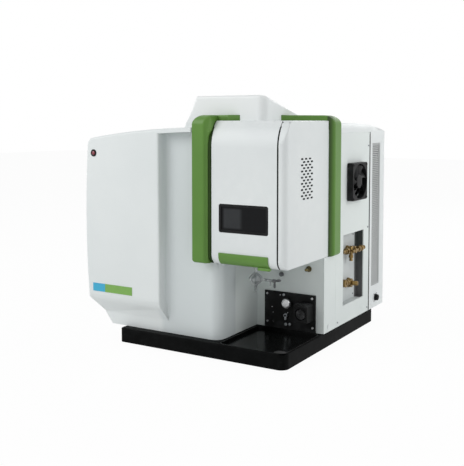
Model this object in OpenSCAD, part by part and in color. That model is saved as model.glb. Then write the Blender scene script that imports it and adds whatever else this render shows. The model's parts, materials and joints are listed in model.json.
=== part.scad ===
// Bench-top ICP optical emission spectrometer, in millimetres.
// Origin on the bench under the middle; +X right, -Y front, +Z up.

/* [Housing] */
// Width of the white housing
housing_w = 700; // [660:5:740]
// Depth of the housing, from the left panel to the rear cover
housing_d = 618; // [600:2:640]
// Height of the housing's crown above the plinth
housing_h = 616; // [606:2:640]
// Wall of the moulded covers and panels
wall = 4; // [3:0.5:5]
// Radius of the crowned top, seen from the front
crown_r = 2600; // [2000:50:4000]
// Distance of the crown's highest line from the left side
crown_x = 440; // [400:5:480]
// How far the roof behind the hood stands above the crown
roof_over = 12; // [8:1:16]
// Width over which the roof rises behind the hood
roof_ramp = 70; // [50:1:90]
// Radius of the roof's fall towards the rear, seen from the right
fall_r = 1125; // [1000:25:1400]
// Distance from the rear at which the roof starts to fall
fall_d = 261; // [240:1:280]
// Radius of the bulged left side
side_r = 3000; // [2500:50:4000]
// Height of the widest line of the left side
side_z = 375; // [340:5:410]
// Rounding of the housing's long edges
edge_r = 24; // [16:1:28]
// How far the left side is drawn in at the bottom
taper_w = 77; // [60:1:95]
// Distance of the top cover's seam from the left side
seam_x = 60; // [50:1:80]
// Height of the drawn-in part of the left side
taper_h = 95; // [75:1:115]
// Height of the roof's rounded edge above the flat right side panels
side_drop = 30; // [29:1:40]
// Depth of the rear cover
rear_d = 140; // [120:2:160]
// Rounding of the rear cover's corners
rear_r = 14; // [8:1:24]

/* [Plinth] */
// Height of the black plinth
plinth_h = 46; // [40:1:54]
// Distance of the plinth from the housing's left side
plinth_inset = 131; // [110:1:150]
// How far the plinth's front lies behind the left panel
plinth_back = 7; // [3:1:14]
// How far the plinth runs on under the rear cover
plinth_past = 30; // [20:1:44]
// Wall of the plinth
plinth_t = 5; // [4:0.5:7]
// Rounding of the plinth's front right corner
plinth_r = 25; // [15:1:35]
// Height of the rubber feet below the plinth's wall
foot_h = 2; // [1:0.5:4]
// Radius of a rubber foot
foot_r = 18; // [14:1:24]
// Depth of the drip tray
tray_h = 12; // [9:1:16]
// Wall of the drip tray
tray_t = 3; // [2:0.5:4]
// Rounding of the drip tray's corners
tray_r = 18; // [10:1:24]
// Border of the plinth round the drip tray
tray_rim = 8; // [7:0.5:11]

/* [Front cover] */
// Width of the raised left panel
panel_w = 283; // [250:1:310]
// Depth of the step from the left panel to the column
step_d = 36; // [28:1:44]
// Slant of the step's wall
step_slant = 10; // [4:1:18]
// Width of the column
column_w = 189; // [180:1:200]
// Width of the sample bay; panel, column and bay share the housing's width as these three widths stand
bay_w = 228; // [215:1:240]
// Rounding of the column's right edge
column_r = 30; // [15:1:34]
// Depth of the front cover behind the column's face
cover_d = 91; // [75:1:105]
// Height of the lip over the column
lip_h = 14; // [8:1:20]
// Height of the panel's lower crease above the plinth
crease_h = 88; // [70:1:105]
// Height above the plinth at which the chamfer meets the column
chamfer_h = 36; // [20:1:50]
// Length of the badge strip
badge_w = 153; // [120:1:170]
// Height of the badge strip
badge_h = 25; // [18:1:32]
// Length of the strip's first colour
badge_split = 48; // [30:1:70]
// Distance of the strip from the housing's left side
badge_x = 30; // [24:1:44]
// Height of the strip's lower edge above the plinth
badge_z = 106; // [98:1:125]
// Thickness of the badge strip
badge_t = 1.5; // [1:0.25:2.5]

/* [Torch box] */
// Depth of the sample bay
bay_d = 222; // [200:1:240]
// Height of the hood's underside
hood_z = 275; // [255:1:295]
// How far the hood stands above the roof behind it
hood_over = 7; // [4:1:12]
// How far the hood's front lies behind the left panel
panel_ahead = 10; // [6:1:14]
// How far the hood runs on behind the bay's back wall
hood_past = 26; // [20:1:34]
// Rounding of the hood's front right edge
hood_r = 17; // [10:1:22]
// Width of the fixed strip at the right of the door
strip_w = 25; // [20:1:32]
// Gap between the door and what stands beside it
door_gap = 2; // [1:0.25:4]
// How far the door runs in front of the column
door_lap = 11; // [6:1:14]
// Height over which the door's top rounds back
door_top_h = 75; // [60:1:90]
// How far the door's top rounds back
door_top_d = 32; // [24:1:36]
// Height over which the door's bottom rounds back
door_foot_h = 27; // [20:1:34]
// How far the door's bottom rounds back
door_foot_d = 16; // [10:1:20]
// Radius of the door's hinge knuckles
knuckle_r = 6; // [5:0.25:7]
// Radius of the door's hinge pin
pin_r = 3; // [2:0.25:4]
// Width of the window
window_w = 159; // [130:1:180]
// Height of the window
window_h = 81; // [60:1:100]
// Height of the window above the hood's underside
window_z = 92; // [70:1:110]
// Distance of the window and the handle from the door's left edge
window_x = 26; // [18:1:30]
// Rounding of the window's corners
window_r = 6; // [3:0.5:12]
// Height of the handle
handle_h = 34; // [30:1:42]
// How far the handle stands out
handle_t = 3; // [2:0.5:5]
// How far the trim hoop stands out of the hood
hoop_proud = 14; // [10:1:18]
// Thickness of the trim hoop
hoop_t = 31; // [24:1:36]
// Distance from the hood's rear to the hoop's right leg
hoop_lag = 15.6; // [10:0.2:24]
// How far the hoop's left leg is cut back beside the door
hoop_set = 8.5; // [5:0.5:12]
// Gap between the hoop's left leg and the door
hoop_gap = 8; // [4:0.5:12]
// Rounding of the hoop's upper corners
hoop_r = 28; // [15:1:30]
// Width of the exhaust hump at its top
hump_w = 234; // [215:1:245]
// Height of the hump above the hood
hump_h = 75; // [60:1:90]
// Distance of the hump's front from the door's front
hump_y = 67; // [58:1:80]
// Distance of the hump from the housing's right side
hump_x = 100; // [95:1:110]
// How far the hump's left foot spreads
hump_foot = 41; // [25:1:55]
// Slope of the hump's top towards the rear, in degrees
hump_slope = 16.2; // [12:0.2:19]
// Rounding of the hump's right front edge
hump_r = 26; // [15:1:35]
// Inner radius of the exhaust duct
duct_r = 43; // [35:1:45]
// Wall of the exhaust duct
duct_t = 2; // [1.5:0.25:3]
// Height of the exhaust duct above the hood
duct_h = 31; // [25:1:34]
// Half the height of a vent slot in the hood's side
vent_r = 2; // [1.5:0.25:2.5]
// Width of a vent slot
vent_w = 13; // [10:0.5:16]
// Distance between rows of vent slots
vent_pitch = 8.6; // [8:0.1:10]
// Distance between columns of vent slots
vent_step = 24.8; // [22:0.2:28]
// Rows of vent slots
vent_rows = 14; // [8:1:16]
// Columns of vent slots
vent_cols = 3; // [2:1:4]

/* [Torch and sample] */
// Distance of the torch from the column's right wall
torch_x = 58; // [50:1:80]
// Distance of the torch behind the column's face
torch_y = 111; // [95:1:130]
// Outer radius of the torch
torch_r = 10; // [9:0.5:12]
// Length of the torch
torch_h = 118; // [100:1:130]
// Wall of the glass tubes
glass_t = 1.2; // [1:0.1:1.6]
// Radius of the spray chamber
chamber_r = 21; // [17:0.5:25]
// Height of the spray chamber
chamber_h = 40; // [34:1:46]
// Gap between the spray chamber and the hood's floor
chamber_drop = 40; // [34:1:46]
// Radius of the spray chamber's neck and stem
stem_r = 4; // [3:0.25:5]
// Length of the drain stem
drain_h = 18; // [10:1:24]
// Radius of the nebulizer
neb_r = 4; // [3:0.25:5]
// Length of the nebulizer
neb_l = 34; // [26:1:42]
// Width of an induction plate
plate_w = 46; // [40:1:56]
// Thickness of an induction plate
plate_t = 4; // [3:0.5:6]
// Gap between the induction plates
plate_gap = 8; // [5:0.5:12]

/* [Pump] */
// Width of the pump plate
pump_w = 173; // [160:1:178]
// Height of the pump plate
pump_h = 114; // [100:1:125]
// Thickness of the pump plate
pump_t = 4; // [3:0.5:6]
// Distance of the pump plate from the column's right wall
pump_x = 29; // [20:1:34]
// Radius of the tension knob
knob_r = 15; // [10:0.5:16]
// Depth of the tension knob
knob_d = 20; // [14:1:26]
// Width of the pump head
head_w = 44; // [40:1:50]
// Height of the pump head
head_h = 54; // [48:1:60]
// Depth of the pump head
head_d = 45; // [36:1:55]
// Radius of the pump rotor
rotor_r = 15; // [13:0.5:16]
// Radius of a pump roller
roller_r = 4; // [3:0.25:4.5]
// Radius of the pump's shaft
shaft_r = 4; // [3:0.25:5]
// Radius of the pump motor
motor_r = 22; // [18:1:24]
// Length of the pump motor
motor_l = 65; // [50:1:75]

/* [Right side] */
// Width of the square fan
fan_w = 119; // [92:1:125]
// Thickness of the fan
fan_t = 20; // [15:1:25]
// Distance of the fan from the side panel's front edge
fan_y = 81; // [68:1:100]
// Height of the fan's lower edge
fan_z = 430; // [415:1:445]
// Wall between the fan's duct and its frame
fan_rim = 4; // [3:0.5:6]
// Radius of the fan's hub
hub_r = 22; // [18:0.5:26]
// Number of fan blades
fan_blades = 7; // [5:1:9]
// Width of the corner panel
corner_w = 84; // [70:1:90]
// Width of the service opening
service_w = 167; // [150:1:175]
// Distance of the service opening from the side panel's rear edge
service_rear = 53; // [44:1:64]
// Height of the service opening
service_h = 222; // [200:1:230]
// Distance of the service opening from the side panel's front edge
service_y = 56; // [45:1:70]
// Height of the service opening's lower edge
service_z = 103; // [95:1:115]
// Depth of the service recess
service_d = 24; // [18:1:30]
// Radius of the brass fittings
brass_r = 14; // [11:0.5:16]
// Radius of a hose barb
barb_r = 8; // [5:0.5:9]
// Length of the valve's wing
wing_w = 44; // [34:1:52]
// Width of the rear louvre
louvre_w = 72; // [56:1:78]
// Distance of the louvre's top below the crown
louvre_drop = 55; // [50:1:90]
// Number of louvre slats
slats = 28; // [14:1:36]
// Radius of the cable gland
gland_r = 12; // [9:0.5:15]

/* [Inside] */
// Width of a frame post
post_w = 24; // [18:1:30]
// Length of the optics housing
optics_d = 340; // [300:2:360]
// Width of the optics housing
optics_w = 262; // [240:2:270]
// Height of the optics housing
optics_h = 400; // [370:2:420]
// Wall of the optics housing
optics_t = 6; // [5:0.5:9]
// Height of the isolators under the optics housing
isolator_h = 58; // [45:1:70]
// Radius of an isolator
isolator_r = 15; // [12:0.5:20]
// Radius of the viewing tube
view_r = 15; // [11:0.5:18]
// Height of the shelf under the radio frequency generator
shelf_z = 340; // [336:1:350]
// Height of the radio frequency generator
generator_h = 190; // [150:2:210]
// Height of the power supply
supply_h = 130; // [100:2:160]
// Radius of the focusing mirror
mirror_r = 35; // [25:1:40]
// Thickness of the focusing mirror and its stand
mirror_t = 20; // [12:1:26]
// Width of the grating's block
grating_w = 70; // [50:1:90]
// Height of the grating's block
grating_h = 120; // [90:1:150]
// Width of the detector module
detector_w = 80; // [60:1:100]
// Height of the detector module
detector_h = 140; // [100:1:170]
// Width of the control board
board_w = 180; // [140:1:200]
// Height of the control board
board_h = 200; // [150:1:260]
// Radius of the power button
button_r = 6; // [4.5:0.25:8]
// Travel of the power button
button_travel = 2; // [1:0.25:2.25]
// Running clearance of pins and shafts
clearance = 0.05; // [0.03:0.01:0.08]
// Clearance round parts that drop in
ease = 0.5; // [0.3:0.05:0.8]

/* [Hidden] */
$fn = 64;
far = 3000;
cut = 1;

// Places of the housing
x_l = -(housing_w + fan_t) / 2;
x_r = x_l + housing_w;
wide = housing_w / (panel_w + column_w + bay_w);
x_s = x_l + panel_w * wide;
x_c = x_s + column_w * wide;
x_seam = x_l + seam_x;
x_p = x_l + plinth_inset;
y_p = -(hoop_proud + housing_d - panel_ahead + rear_d) / 2 + hoop_proud - panel_ahead;
y_h = y_p + panel_ahead;
y_c = y_p + step_d;
y_f = y_c + cover_d;
y_b = y_c + bay_d;
y_hr = y_b + hood_past;
y_k = y_b + corner_w;
y_j = y_p + housing_d;
y_r = y_j + rear_d;
z_0 = plinth_h;
z_top = z_0 + housing_h;
z_roof = z_top + roof_over;
z_s = z_roof - side_drop;
z_h = z_roof + hood_over;
hood_h = z_h - hood_z;
z_deck = z_0 + wall;

// Places of the door and its hinge
x_d0 = x_c - door_lap;
x_d1 = x_r - strip_w - door_gap;
y_d = y_c - door_gap;
hinge_y = y_h + door_top_d + 1;
hinge_z = z_h - knuckle_r;
hinge_free = knuckle_r + ease;
top_arc = (door_top_h * door_top_h + door_top_d * door_top_d) / (2 * door_top_d);
foot_arc = (door_foot_h * door_foot_h + door_foot_d * door_foot_d) / (2 * door_foot_d);
knuckle_l = 28;
hood_knuckles = [x_d0 + window_x, x_d1 - window_x - knuckle_l];
door_knuckles = [hood_knuckles[0] + knuckle_l + ease, hood_knuckles[1] - knuckle_l - ease];

// Places of the hoop, hump and duct
hoop_front = y_h - hoop_proud;
hoop_right = x_r + hoop_proud;
hoop_rise = 16;
hoop_top = z_h + hoop_rise;
leg_x1 = x_d0 - hoop_gap;
hoop_face = leg_x1 - hoop_set;
hoop_angle = atan2(y_hr + hoop_lag - hoop_front, hoop_right - hoop_face);
hoop_clear = 2;
lip_end = hoop_face - hoop_t / sin(hoop_angle) - hoop_clear;
hump_x1 = x_r - hump_x;
hump_x0 = hump_x1 - hump_w;
hump_front = y_h + hump_y;
hump_top = z_h + hump_h;
duct_lip = 1.5;
duct_side = 4;
duct_back = 22;
duct_x = x_c + wall + duct_r + duct_t + duct_side;
duct_y = y_hr - wall - duct_r - duct_t - duct_back;

// Places of the torch and the sample train
tx = x_c + torch_x;
ty = y_c + torch_y;
floor_top = hood_z + wall;
mount_h = 26;
mount_rim = 12;
torch_foot = 3;
inner_drop = 40;
jet_drop = 8;
plate_clear = 2;
block_d = 60;
block_rim = 12;
flange_w = 5;
flange_t = 3;
tube_t = 2;
collar_l = 10;
branch_l = 22;
side_arm = 16;
neb_in = 8;
torch_z = floor_top + mount_h;
coil_drop = 34;
coil_z = torch_z + torch_h - coil_drop;
chamber_top = hood_z - chamber_drop;
chamber_mid = chamber_top - chamber_h / 2;
neb_socket = 2;
branch_in = 4;
branch_r = neb_r - 1;
neb_x = tx + chamber_r + neb_socket;

// Places of the pump
plate_x0 = x_c + pump_x * wide;
plate_x1 = plate_x0 + pump_w * wide;
plate_y = y_b - pump_t;
plate_top = z_0 + pump_h;
knob_at = [82, 83];
lever_drop = 39;
lever_left = 6;
lever_l = 14;
head_in = 6.5;
head_up = 63;
knob_x = plate_x0 + knob_at[0] * wide;
knob_z = z_0 + knob_at[1];
lever_x = knob_x - lever_left;
lever_z = knob_z - lever_drop;
head_x = plate_x1 - head_in - head_w / 2;
head_z = z_0 + head_up;
head_front = plate_y - head_d;
pocket_r = rotor_r + 3;
disc_t = 3;
pocket_back = plate_y - 4;
roller_ring = rotor_r - roller_r;
stud_r = 3;
boss_d = 3;
knob_gap = 0.5;
stud_short = 5;
lever_stud = 12;
lever_r = 6;
lever_t = 9;
lever_w = 7;
shaft_in = 20;
rotor_gap = 2;

// Places on the right side
long = (y_j - y_k) / (service_y + service_w + service_rear);
fan_c = [x_r, y_k + (fan_y + fan_w / 2) * long, fan_z + fan_w / 2];
duct_fan = fan_w / 2 - fan_rim;
blade_r = duct_fan - 1.5;
spider_t = 3;
serv_y0 = y_k + service_y * long;
serv_y1 = serv_y0 + service_w * long;
serv_z1 = service_z + service_h;
serv_back = x_r - service_d;
gas_at = [79, 57];
cool_at = [90, 57];
gas_y = serv_y0 + gas_at[0] * long;
gas_z = serv_z1 - gas_at[1];
cool_y = serv_y0 + cool_at[0] * long;
cool_z = service_z + cool_at[1];
hex_t = 9;
wing_x = x_r + 4;
wing_t = 8;
barb_l = 20;
louvre_at = [17, 77];
louvre_rim = 6;
gland_at = [83, 33];
louvre_y = y_j + louvre_at[0];
louvre_z = z_0 + louvre_at[1];
louvre_h = z_top - louvre_drop - louvre_z;
gland_y = y_r - gland_at[0];
gland_z = z_0 + gland_at[1];

// Places inside
foot_in = 8;
deck_in = 14;
deck_gap = 2;
frame_gap = 4;
rail_drop = 14;
deck_x0 = x_p + deck_in;
deck_y1 = y_j - wall - deck_gap;
post_x0 = deck_x0;
post_x1 = x_r - wall - frame_gap - post_w;
post_y0 = y_f + wall + deck_gap;
post_y1 = deck_y1 - post_w;
rail_z = z_s - rail_drop - post_w;
optics_ahead = 40;
opt_x0 = deck_x0 + post_w + frame_gap;
opt_x1 = opt_x0 + optics_w;
opt_y0 = y_f - optics_ahead;
opt_z0 = z_deck + isolator_h;
opt_z1 = opt_z0 + optics_h;
view_up = 16;
view_z = coil_z + view_up;
shelf_side = 30;
shelf_back = 64;
shelf_x = opt_x1 + shelf_side;
shelf_y = y_hr + shelf_back;
generator_gap = 10;
generator_rear = 20;
supply_gap = 37;
supply_side = 30;
stand_t = 30;
ruled_t = 10;
ruled_rim = 5;
optics_rear = 20;
detector_t = 50;
board_t = 2;
board_stand = 8;
board_pin_r = 3;
board_in = 10;

// Places on the left panel
button_at = [37, 80];
button_x = x_l + button_at[0];
button_z = z_top - button_at[1];
bezel_r = button_r + 3;
bezel_t = 1.5;
flange_r = bezel_r + 2;
bezel_d = 14;
button_head = button_travel + bezel_t;

// Solids between two corners, and profiles and rods along an axis
module block(a, b) {
  translate(a) cube(b - a);
}

module along_x(x0, x1) {
  translate([x0, 0, 0]) rotate([90, 0, 90]) linear_extrude(x1 - x0) children();
}

module along_y(y0, y1) {
  translate([0, y1, 0]) rotate([90, 0, 0]) linear_extrude(y1 - y0) children();
}

module along_z(z0, z1) {
  translate([0, 0, z0]) linear_extrude(z1 - z0) children();
}

module rod_x(r, x0, x1, y, z) {
  translate([x0, y, z]) rotate([0, 90, 0]) cylinder(r = r, h = x1 - x0);
}

module rod_y(r, y0, y1, x, z) {
  translate([x, y0, z]) rotate([-90, 0, 0]) cylinder(r = r, h = y1 - y0);
}

module rod_z(r, z0, z1, x, y) {
  translate([x, y, z0]) cylinder(r = r, h = z1 - z0);
}

// What a rounding of radius r takes off a corner whose sides run along +x and +y
module spandrel(corner, angle, r) {
  translate(corner) rotate(angle) difference() {
    translate([-cut, -cut]) square(r + cut);
    translate([r, r]) circle(r);
  }
}

// Rectangle with its own radius at each corner, from lower left, anticlockwise
module rounded(a, b, r) {
  corners = [a, [b[0], a[1]], b, [a[0], b[1]]];
  difference() {
    translate(a) square(b - a);
    for (k = [0:3]) {
      if (r[k] > 0) spandrel(corners[k], 90 * k, r[k]);
    }
  }
}

// The housing's section, seen from the front and drawn in by i
module housing_raw(i) {
  intersection() {
    union() {
      translate([x_l + crown_x, z_top - crown_r]) circle(crown_r - i, $fn = 720);
      polygon([[x_c, z_0], [x_c, z_top - i - cut], [x_c + roof_ramp, z_roof - i], [x_r + cut, z_roof - i],
        [x_r + cut, z_0]]);
    }
    translate([x_l + side_r, side_z]) circle(side_r - i, $fn = 720);
    translate([x_l, 0]) square([housing_w - i, z_top + far]);
    translate([x_l + taper_w, z_0]) rotate(atan2(taper_h, -taper_w))
      translate([-far, -2 * far]) square([2 * far, 2 * far - i]);
  }
}

module housing_section(i) {
  intersection() {
    offset(r = edge_r - i) offset(delta = i - edge_r) housing_raw(i);
    translate([x_l, z_0 + i]) square([housing_w, far]);
  }
}

// What lies under the roof's fall towards the rear, drawn in by i
module under_fall(i) {
  along_x(x_l - cut, x_r + cut) {
    translate([y_r - fall_d, z_roof - fall_r]) circle(fall_r - i, $fn = 720);
    translate([y_p - far, z_0 - far]) square([y_r - fall_d - y_p + far, z_roof - i - z_0 + far]);
  }
}

module housing_shell(y0, y1) {
  difference() {
    intersection() {
      along_y(y0, y1) housing_section(0);
      under_fall(0);
    }
    intersection() {
      along_y(y0 - cut, y1 + cut) housing_section(wall);
      under_fall(wall);
    }
  }
}

// The recess in front of the column, under the lip, with its surfaces drawn in by i
module column_niche(i) {
  turn = i * (1 + step_slant / step_d);
  intersection() {
    along_z(0, far) polygon([[x_s - i - step_slant, y_p - step_d], [x_s + step_slant - i, y_c + i],
      [lip_end + turn, y_c + i], [lip_end + turn, y_p - step_d]]);
    along_y(y_p - far, y_p + far)
      translate([x_l + crown_x, z_top - crown_r]) circle(crown_r - lip_h + i, $fn = 720);
  }
  block([lip_end - i, y_p - step_d, 0], [x_c + far, y_c + i, far]);
}

// The chamfer below the left panel's crease, drawn in by i
module panel_chamfer(i) {
  fall = crease_h - chamfer_h;
  along_x(x_l - cut, x_c + cut) intersection() {
    translate([y_p, z_0 + crease_h]) rotate(atan2(-fall, step_d))
      translate([-far, i - far]) square([2 * far, far]);
    translate([y_c + i - far, -far]) square([far, 2 * far]);
  }
}

// The front cover's outer form, drawn in by i
module front_form(i) {
  difference() {
    along_y(y_p + i, y_f + (i > 0 ? cut : 0)) intersection() {
      housing_section(i);
      translate([x_l, 0]) square([x_c - i - x_l, far]);
    }
    column_niche(i);
    panel_chamfer(i);
    along_z(0, far) difference() {
      translate([x_c - column_r, y_c - cut]) square(column_r + cut);
      translate([x_c - column_r, y_c + column_r]) circle(column_r - i);
    }
  }
}

// The hood's profile, seen from the right and drawn in by i
module hood_profile(i) {
  z_arc = z_h - door_top_h;
  z_foot = hood_z + door_foot_h;
  difference() {
    translate([y_h + i, hood_z]) square([y_hr - y_h, hood_h]);
    difference() {
      translate([y_h - far, z_arc]) square([far + top_arc, far]);
      translate([y_h + top_arc, z_arc]) circle(top_arc - i, $fn = 180);
    }
    difference() {
      translate([y_h - far, z_foot - far]) square([far + foot_arc, far]);
      translate([y_h + foot_arc, z_foot]) circle(foot_arc - i, $fn = 90);
    }
  }
}

// The diagonal slab that the hoop is cut from, widened by g on each face
module hoop_slab(g) {
  translate([hoop_face, hoop_front]) rotate(hoop_angle)
    translate([-far, -g]) square([2 * far, hoop_t + 2 * g]);
}

// The hump's outer form, drawn in by i
module hump_form(i) {
  foot_z = z_top - 2;
  lean = hump_foot / (hump_top - foot_z);
  side = i * sqrt(1 + lean * lean);
  intersection() {
    along_y(hump_front + i, y_j) polygon([[hump_x0 - hump_foot + side - far * lean, foot_z - far],
      [hump_x1 - i, foot_z - far], [hump_x1 - i, hump_top], [hump_x0 + side, hump_top]]);
    along_x(-far, far) translate([hump_front, hump_top]) rotate(-hump_slope)
      translate([-far, -2 * far]) square([2 * far, 2 * far - i]);
    along_z(0, far) difference() {
      translate([-far, -far]) square(2 * far);
      difference() {
        translate([hump_x1 - hump_r, hump_front - far]) square([far, far + hump_r]);
        translate([hump_x1 - hump_r, hump_front + hump_r]) circle(hump_r - i);
      }
    }
  }
}

// Plinth, feet and tray
module tray_outline(g) {
  rounded([x_c + tray_rim + g, y_p + plinth_back + tray_rim + g],
    [x_r - tray_rim - g, plate_y - 1 - g], [tray_r - g, tray_r - g, tray_r - g, tray_r - g]);
}

module plinth_outline(g) {
  r = plinth_r - g;
  rounded([x_p + g, y_p + plinth_back + g], [x_r - g, y_j + plinth_past - g], [r / 3, r, r / 3, r / 3]);
}

module base_plinth() {
  tray_seat = z_0 - tray_h - wall;
  color([0.08, 0.085, 0.085]) difference() {
    along_z(foot_h, z_0) plinth_outline(0);
    along_z(0, z_0 - wall) difference() {
      plinth_outline(plinth_t);
      translate([x_c, y_p]) square([x_r - x_c, y_b - y_p + plinth_t]);
    }
    along_z(0, tray_seat) intersection() {
      plinth_outline(plinth_t);
      translate([x_c + plinth_t, y_p]) square([x_r - x_c, y_b - y_p]);
    }
    along_z(z_0 - tray_h, z_0 + cut) tray_outline(0);
  }
}

module rubber_feet() {
  edge = plinth_t + foot_r + foot_in;
  rear = y_j + plinth_past - edge;
  color([0.05, 0.05, 0.05]) {
    for (p = [[x_p + edge, y_p + plinth_back + edge], [x_p + edge, rear], [x_r - edge, rear]]) {
      rod_z(foot_r, 0, z_0 - wall, p[0], p[1]);
    }
    rod_z(foot_r, 0, z_0 - tray_h - wall, x_r - edge, y_p + plinth_back + edge);
  }
}

module drip_tray() {
  color([0.06, 0.065, 0.065]) difference() {
    along_z(z_0 - tray_h, z_0) tray_outline(ease);
    along_z(z_0 - tray_h + tray_t, z_0 + cut) tray_outline(ease + tray_t);
  }
}

// Chassis
module chassis_deck() {
  color([0.62, 0.64, 0.65]) difference() {
    block([deck_x0, y_f + deck_gap, z_0], [x_r - wall - deck_gap, deck_y1, z_deck]);
    block([x_c - wall - deck_gap, y_f, z_0 - cut], [x_r, y_b + wall + deck_gap, z_deck + cut]);
  }
}

module chassis_frame() {
  y_post = y_hr + frame_gap;
  color([0.55, 0.57, 0.58]) {
    for (p = [[post_x0, post_y0], [post_x0, post_y1], [post_x1, post_y1]]) {
      block([p[0], p[1], z_deck], [p[0] + post_w, p[1] + post_w, rail_z + post_w]);
    }
    block([post_x1, y_post, z_deck], [post_x1 + post_w, y_post + post_w, rail_z + post_w]);
    block([post_x0, post_y0 + post_w, rail_z], [post_x0 + post_w, post_y1, rail_z + post_w]);
    block([post_x0 + post_w, post_y1, rail_z], [post_x1, post_y1 + post_w, rail_z + post_w]);
    block([post_x1, y_post + post_w, rail_z], [post_x1 + post_w, post_y1, rail_z + post_w]);
    block([shelf_x, shelf_y, shelf_z - wall], [post_x1, post_y1, shelf_z]);
    for (x = [shelf_x, post_x1 - post_w], y = [shelf_y, post_y1 - wall]) {
      block([x, y, z_deck], [x + post_w, y + wall, shelf_z - wall]);
    }
  }
}

// Covers and panels
module front_cover() {
  color([0.89, 0.91, 0.91]) difference() {
    front_form(0);
    front_form(wall);
    rod_y(bezel_r + clearance, y_p - cut, y_p + 2 * wall, button_x, button_z);
  }
}

module left_side_panel() {
  color([0.89, 0.91, 0.91]) intersection() {
    housing_shell(y_f, y_j);
    union() {
      block([x_l - cut, y_p, 0], [x_seam, y_r, far]);
      block([x_l - cut, y_p, 0], [x_p + 10, y_r, z_0 + taper_h]);
    }
  }
}

module top_cover() {
  color([0.89, 0.91, 0.91]) difference() {
    intersection() {
      housing_shell(y_f, y_j);
      union() {
        block([x_seam, y_p, z_0 + taper_h], [x_r - 2 * edge_r, y_r, far]);
        block([x_seam, y_p, z_s], [x_r + cut, y_r, far]);
      }
    }
    block([x_c, y_p, 0], [x_r + far, y_hr, far]);
  }
}

module bay_left_panel() {
  color([0.87, 0.89, 0.89]) difference() {
    block([x_c - wall, y_f, z_0], [x_c, y_b + wall, z_s]);
    rod_x(view_r + clearance, x_c - 2 * wall, x_c + wall, ty, view_z);
  }
}

module bay_back_panel() {
  color([0.87, 0.89, 0.89]) difference() {
    block([x_c, y_b, z_0], [x_r - wall, y_b + wall, hood_z]);
    rod_y(shaft_r + cut, y_b - cut, y_b + wall + cut, head_x, head_z);
  }
}

module corner_panel() {
  color([0.89, 0.91, 0.91]) along_x(x_r - wall, x_r) polygon([[y_b, z_0], [y_k, z_0], [y_k, z_s],
    [y_hr, z_s], [y_hr, hood_z], [y_b, hood_z]]);
}

module right_side_panel() {
  color([0.9, 0.93, 0.91]) difference() {
    block([x_r - wall, y_k, z_0], [x_r, y_j, z_s]);
    block([x_r - 2 * wall, serv_y0, service_z], [x_r + cut, serv_y1, serv_z1]);
    rod_x(duct_fan, x_r - 2 * wall, x_r + cut, fan_c[1], fan_c[2]);
  }
}

module rear_panel() {
  color([0.7, 0.72, 0.72]) block([deck_x0, deck_y1, z_deck],
    [x_r - wall - deck_gap, y_j - deck_gap, rail_z + post_w]);
}

// The rear cover's outer form, drawn in by i
module rear_form(i) {
  r = rear_r - i;
  intersection() {
    along_y(y_j - (i > 0 ? cut : 0), y_r + cut) housing_section(i);
    under_fall(i);
    along_z(0, far) rounded([x_l + i, y_p], [x_r - i, y_r - i], [0, 0, r, r]);
  }
}

module rear_cover() {
  color([0.89, 0.91, 0.91]) difference() {
    rear_form(0);
    rear_form(wall);
    rod_x(gland_r - wall + ease, x_r - 2 * wall, x_r + cut, gland_y, gland_z);
    block([x_r - 2 * wall, louvre_y, louvre_z], [x_r + cut, louvre_y + louvre_w, louvre_z + louvre_h]);
  }
}

module rear_louvre() {
  pitch = louvre_h / slats;
  x0 = x_r - wall;
  color([0.69, 0.7, 0.7]) difference() {
    block([x0, louvre_y, louvre_z], [x_r - 1, louvre_y + louvre_w, louvre_z + louvre_h]);
    for (k = [0:slats - 1]) {
      block([x0 - cut, louvre_y + louvre_rim, louvre_z + (k + 0.3) * pitch],
        [x_r, louvre_y + louvre_w - louvre_rim, louvre_z + (k + 0.7) * pitch]);
    }
  }
}

// Hood, hump and hoop
module exhaust_hump() {
  color([0.89, 0.91, 0.91]) difference() {
    hump_form(0);
    hump_form(wall);
    along_y(y_p - cut, y_j + cut) union() {
      housing_section(0);
      translate([x_l, -far]) square([housing_w, far + z_s]);
    }
    block([x_c, y_h - cut, 0], [x_r + cut, y_hr, z_h]);
    along_z(z_h - cut, hoop_top + ease) hoop_slab(ease);
    rod_z(duct_r + duct_t + duct_lip + ease, z_h, far, duct_x, duct_y);
  }
}

module exhaust_duct() {
  color([0.75, 0.76, 0.77]) difference() {
    union() {
      rod_z(duct_r + duct_t, z_h, z_h + duct_h, duct_x, duct_y);
      rod_z(duct_r + duct_t + duct_lip, z_h, z_h + duct_t, duct_x, duct_y);
    }
    rod_z(duct_r, z_h - cut, z_h + duct_h + cut, duct_x, duct_y);
  }
}

// Knuckles of the door's hinge at the given places
module knuckles(places, r) {
  for (x = places) {
    rod_x(r, x, x + knuckle_l, hinge_y, hinge_z);
  }
}

// Slot through the hood's right side
module vent_slot(y, z) {
  flat = vent_w / 2 - vent_r;
  block([x_r - 2 * wall, y - flat, z - vent_r], [x_r + cut, y + flat, z + vent_r]);
  for (side = [-flat, flat]) {
    rod_x(vent_r, x_r - 2 * wall, x_r + cut, y + side, z);
  }
}

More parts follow.
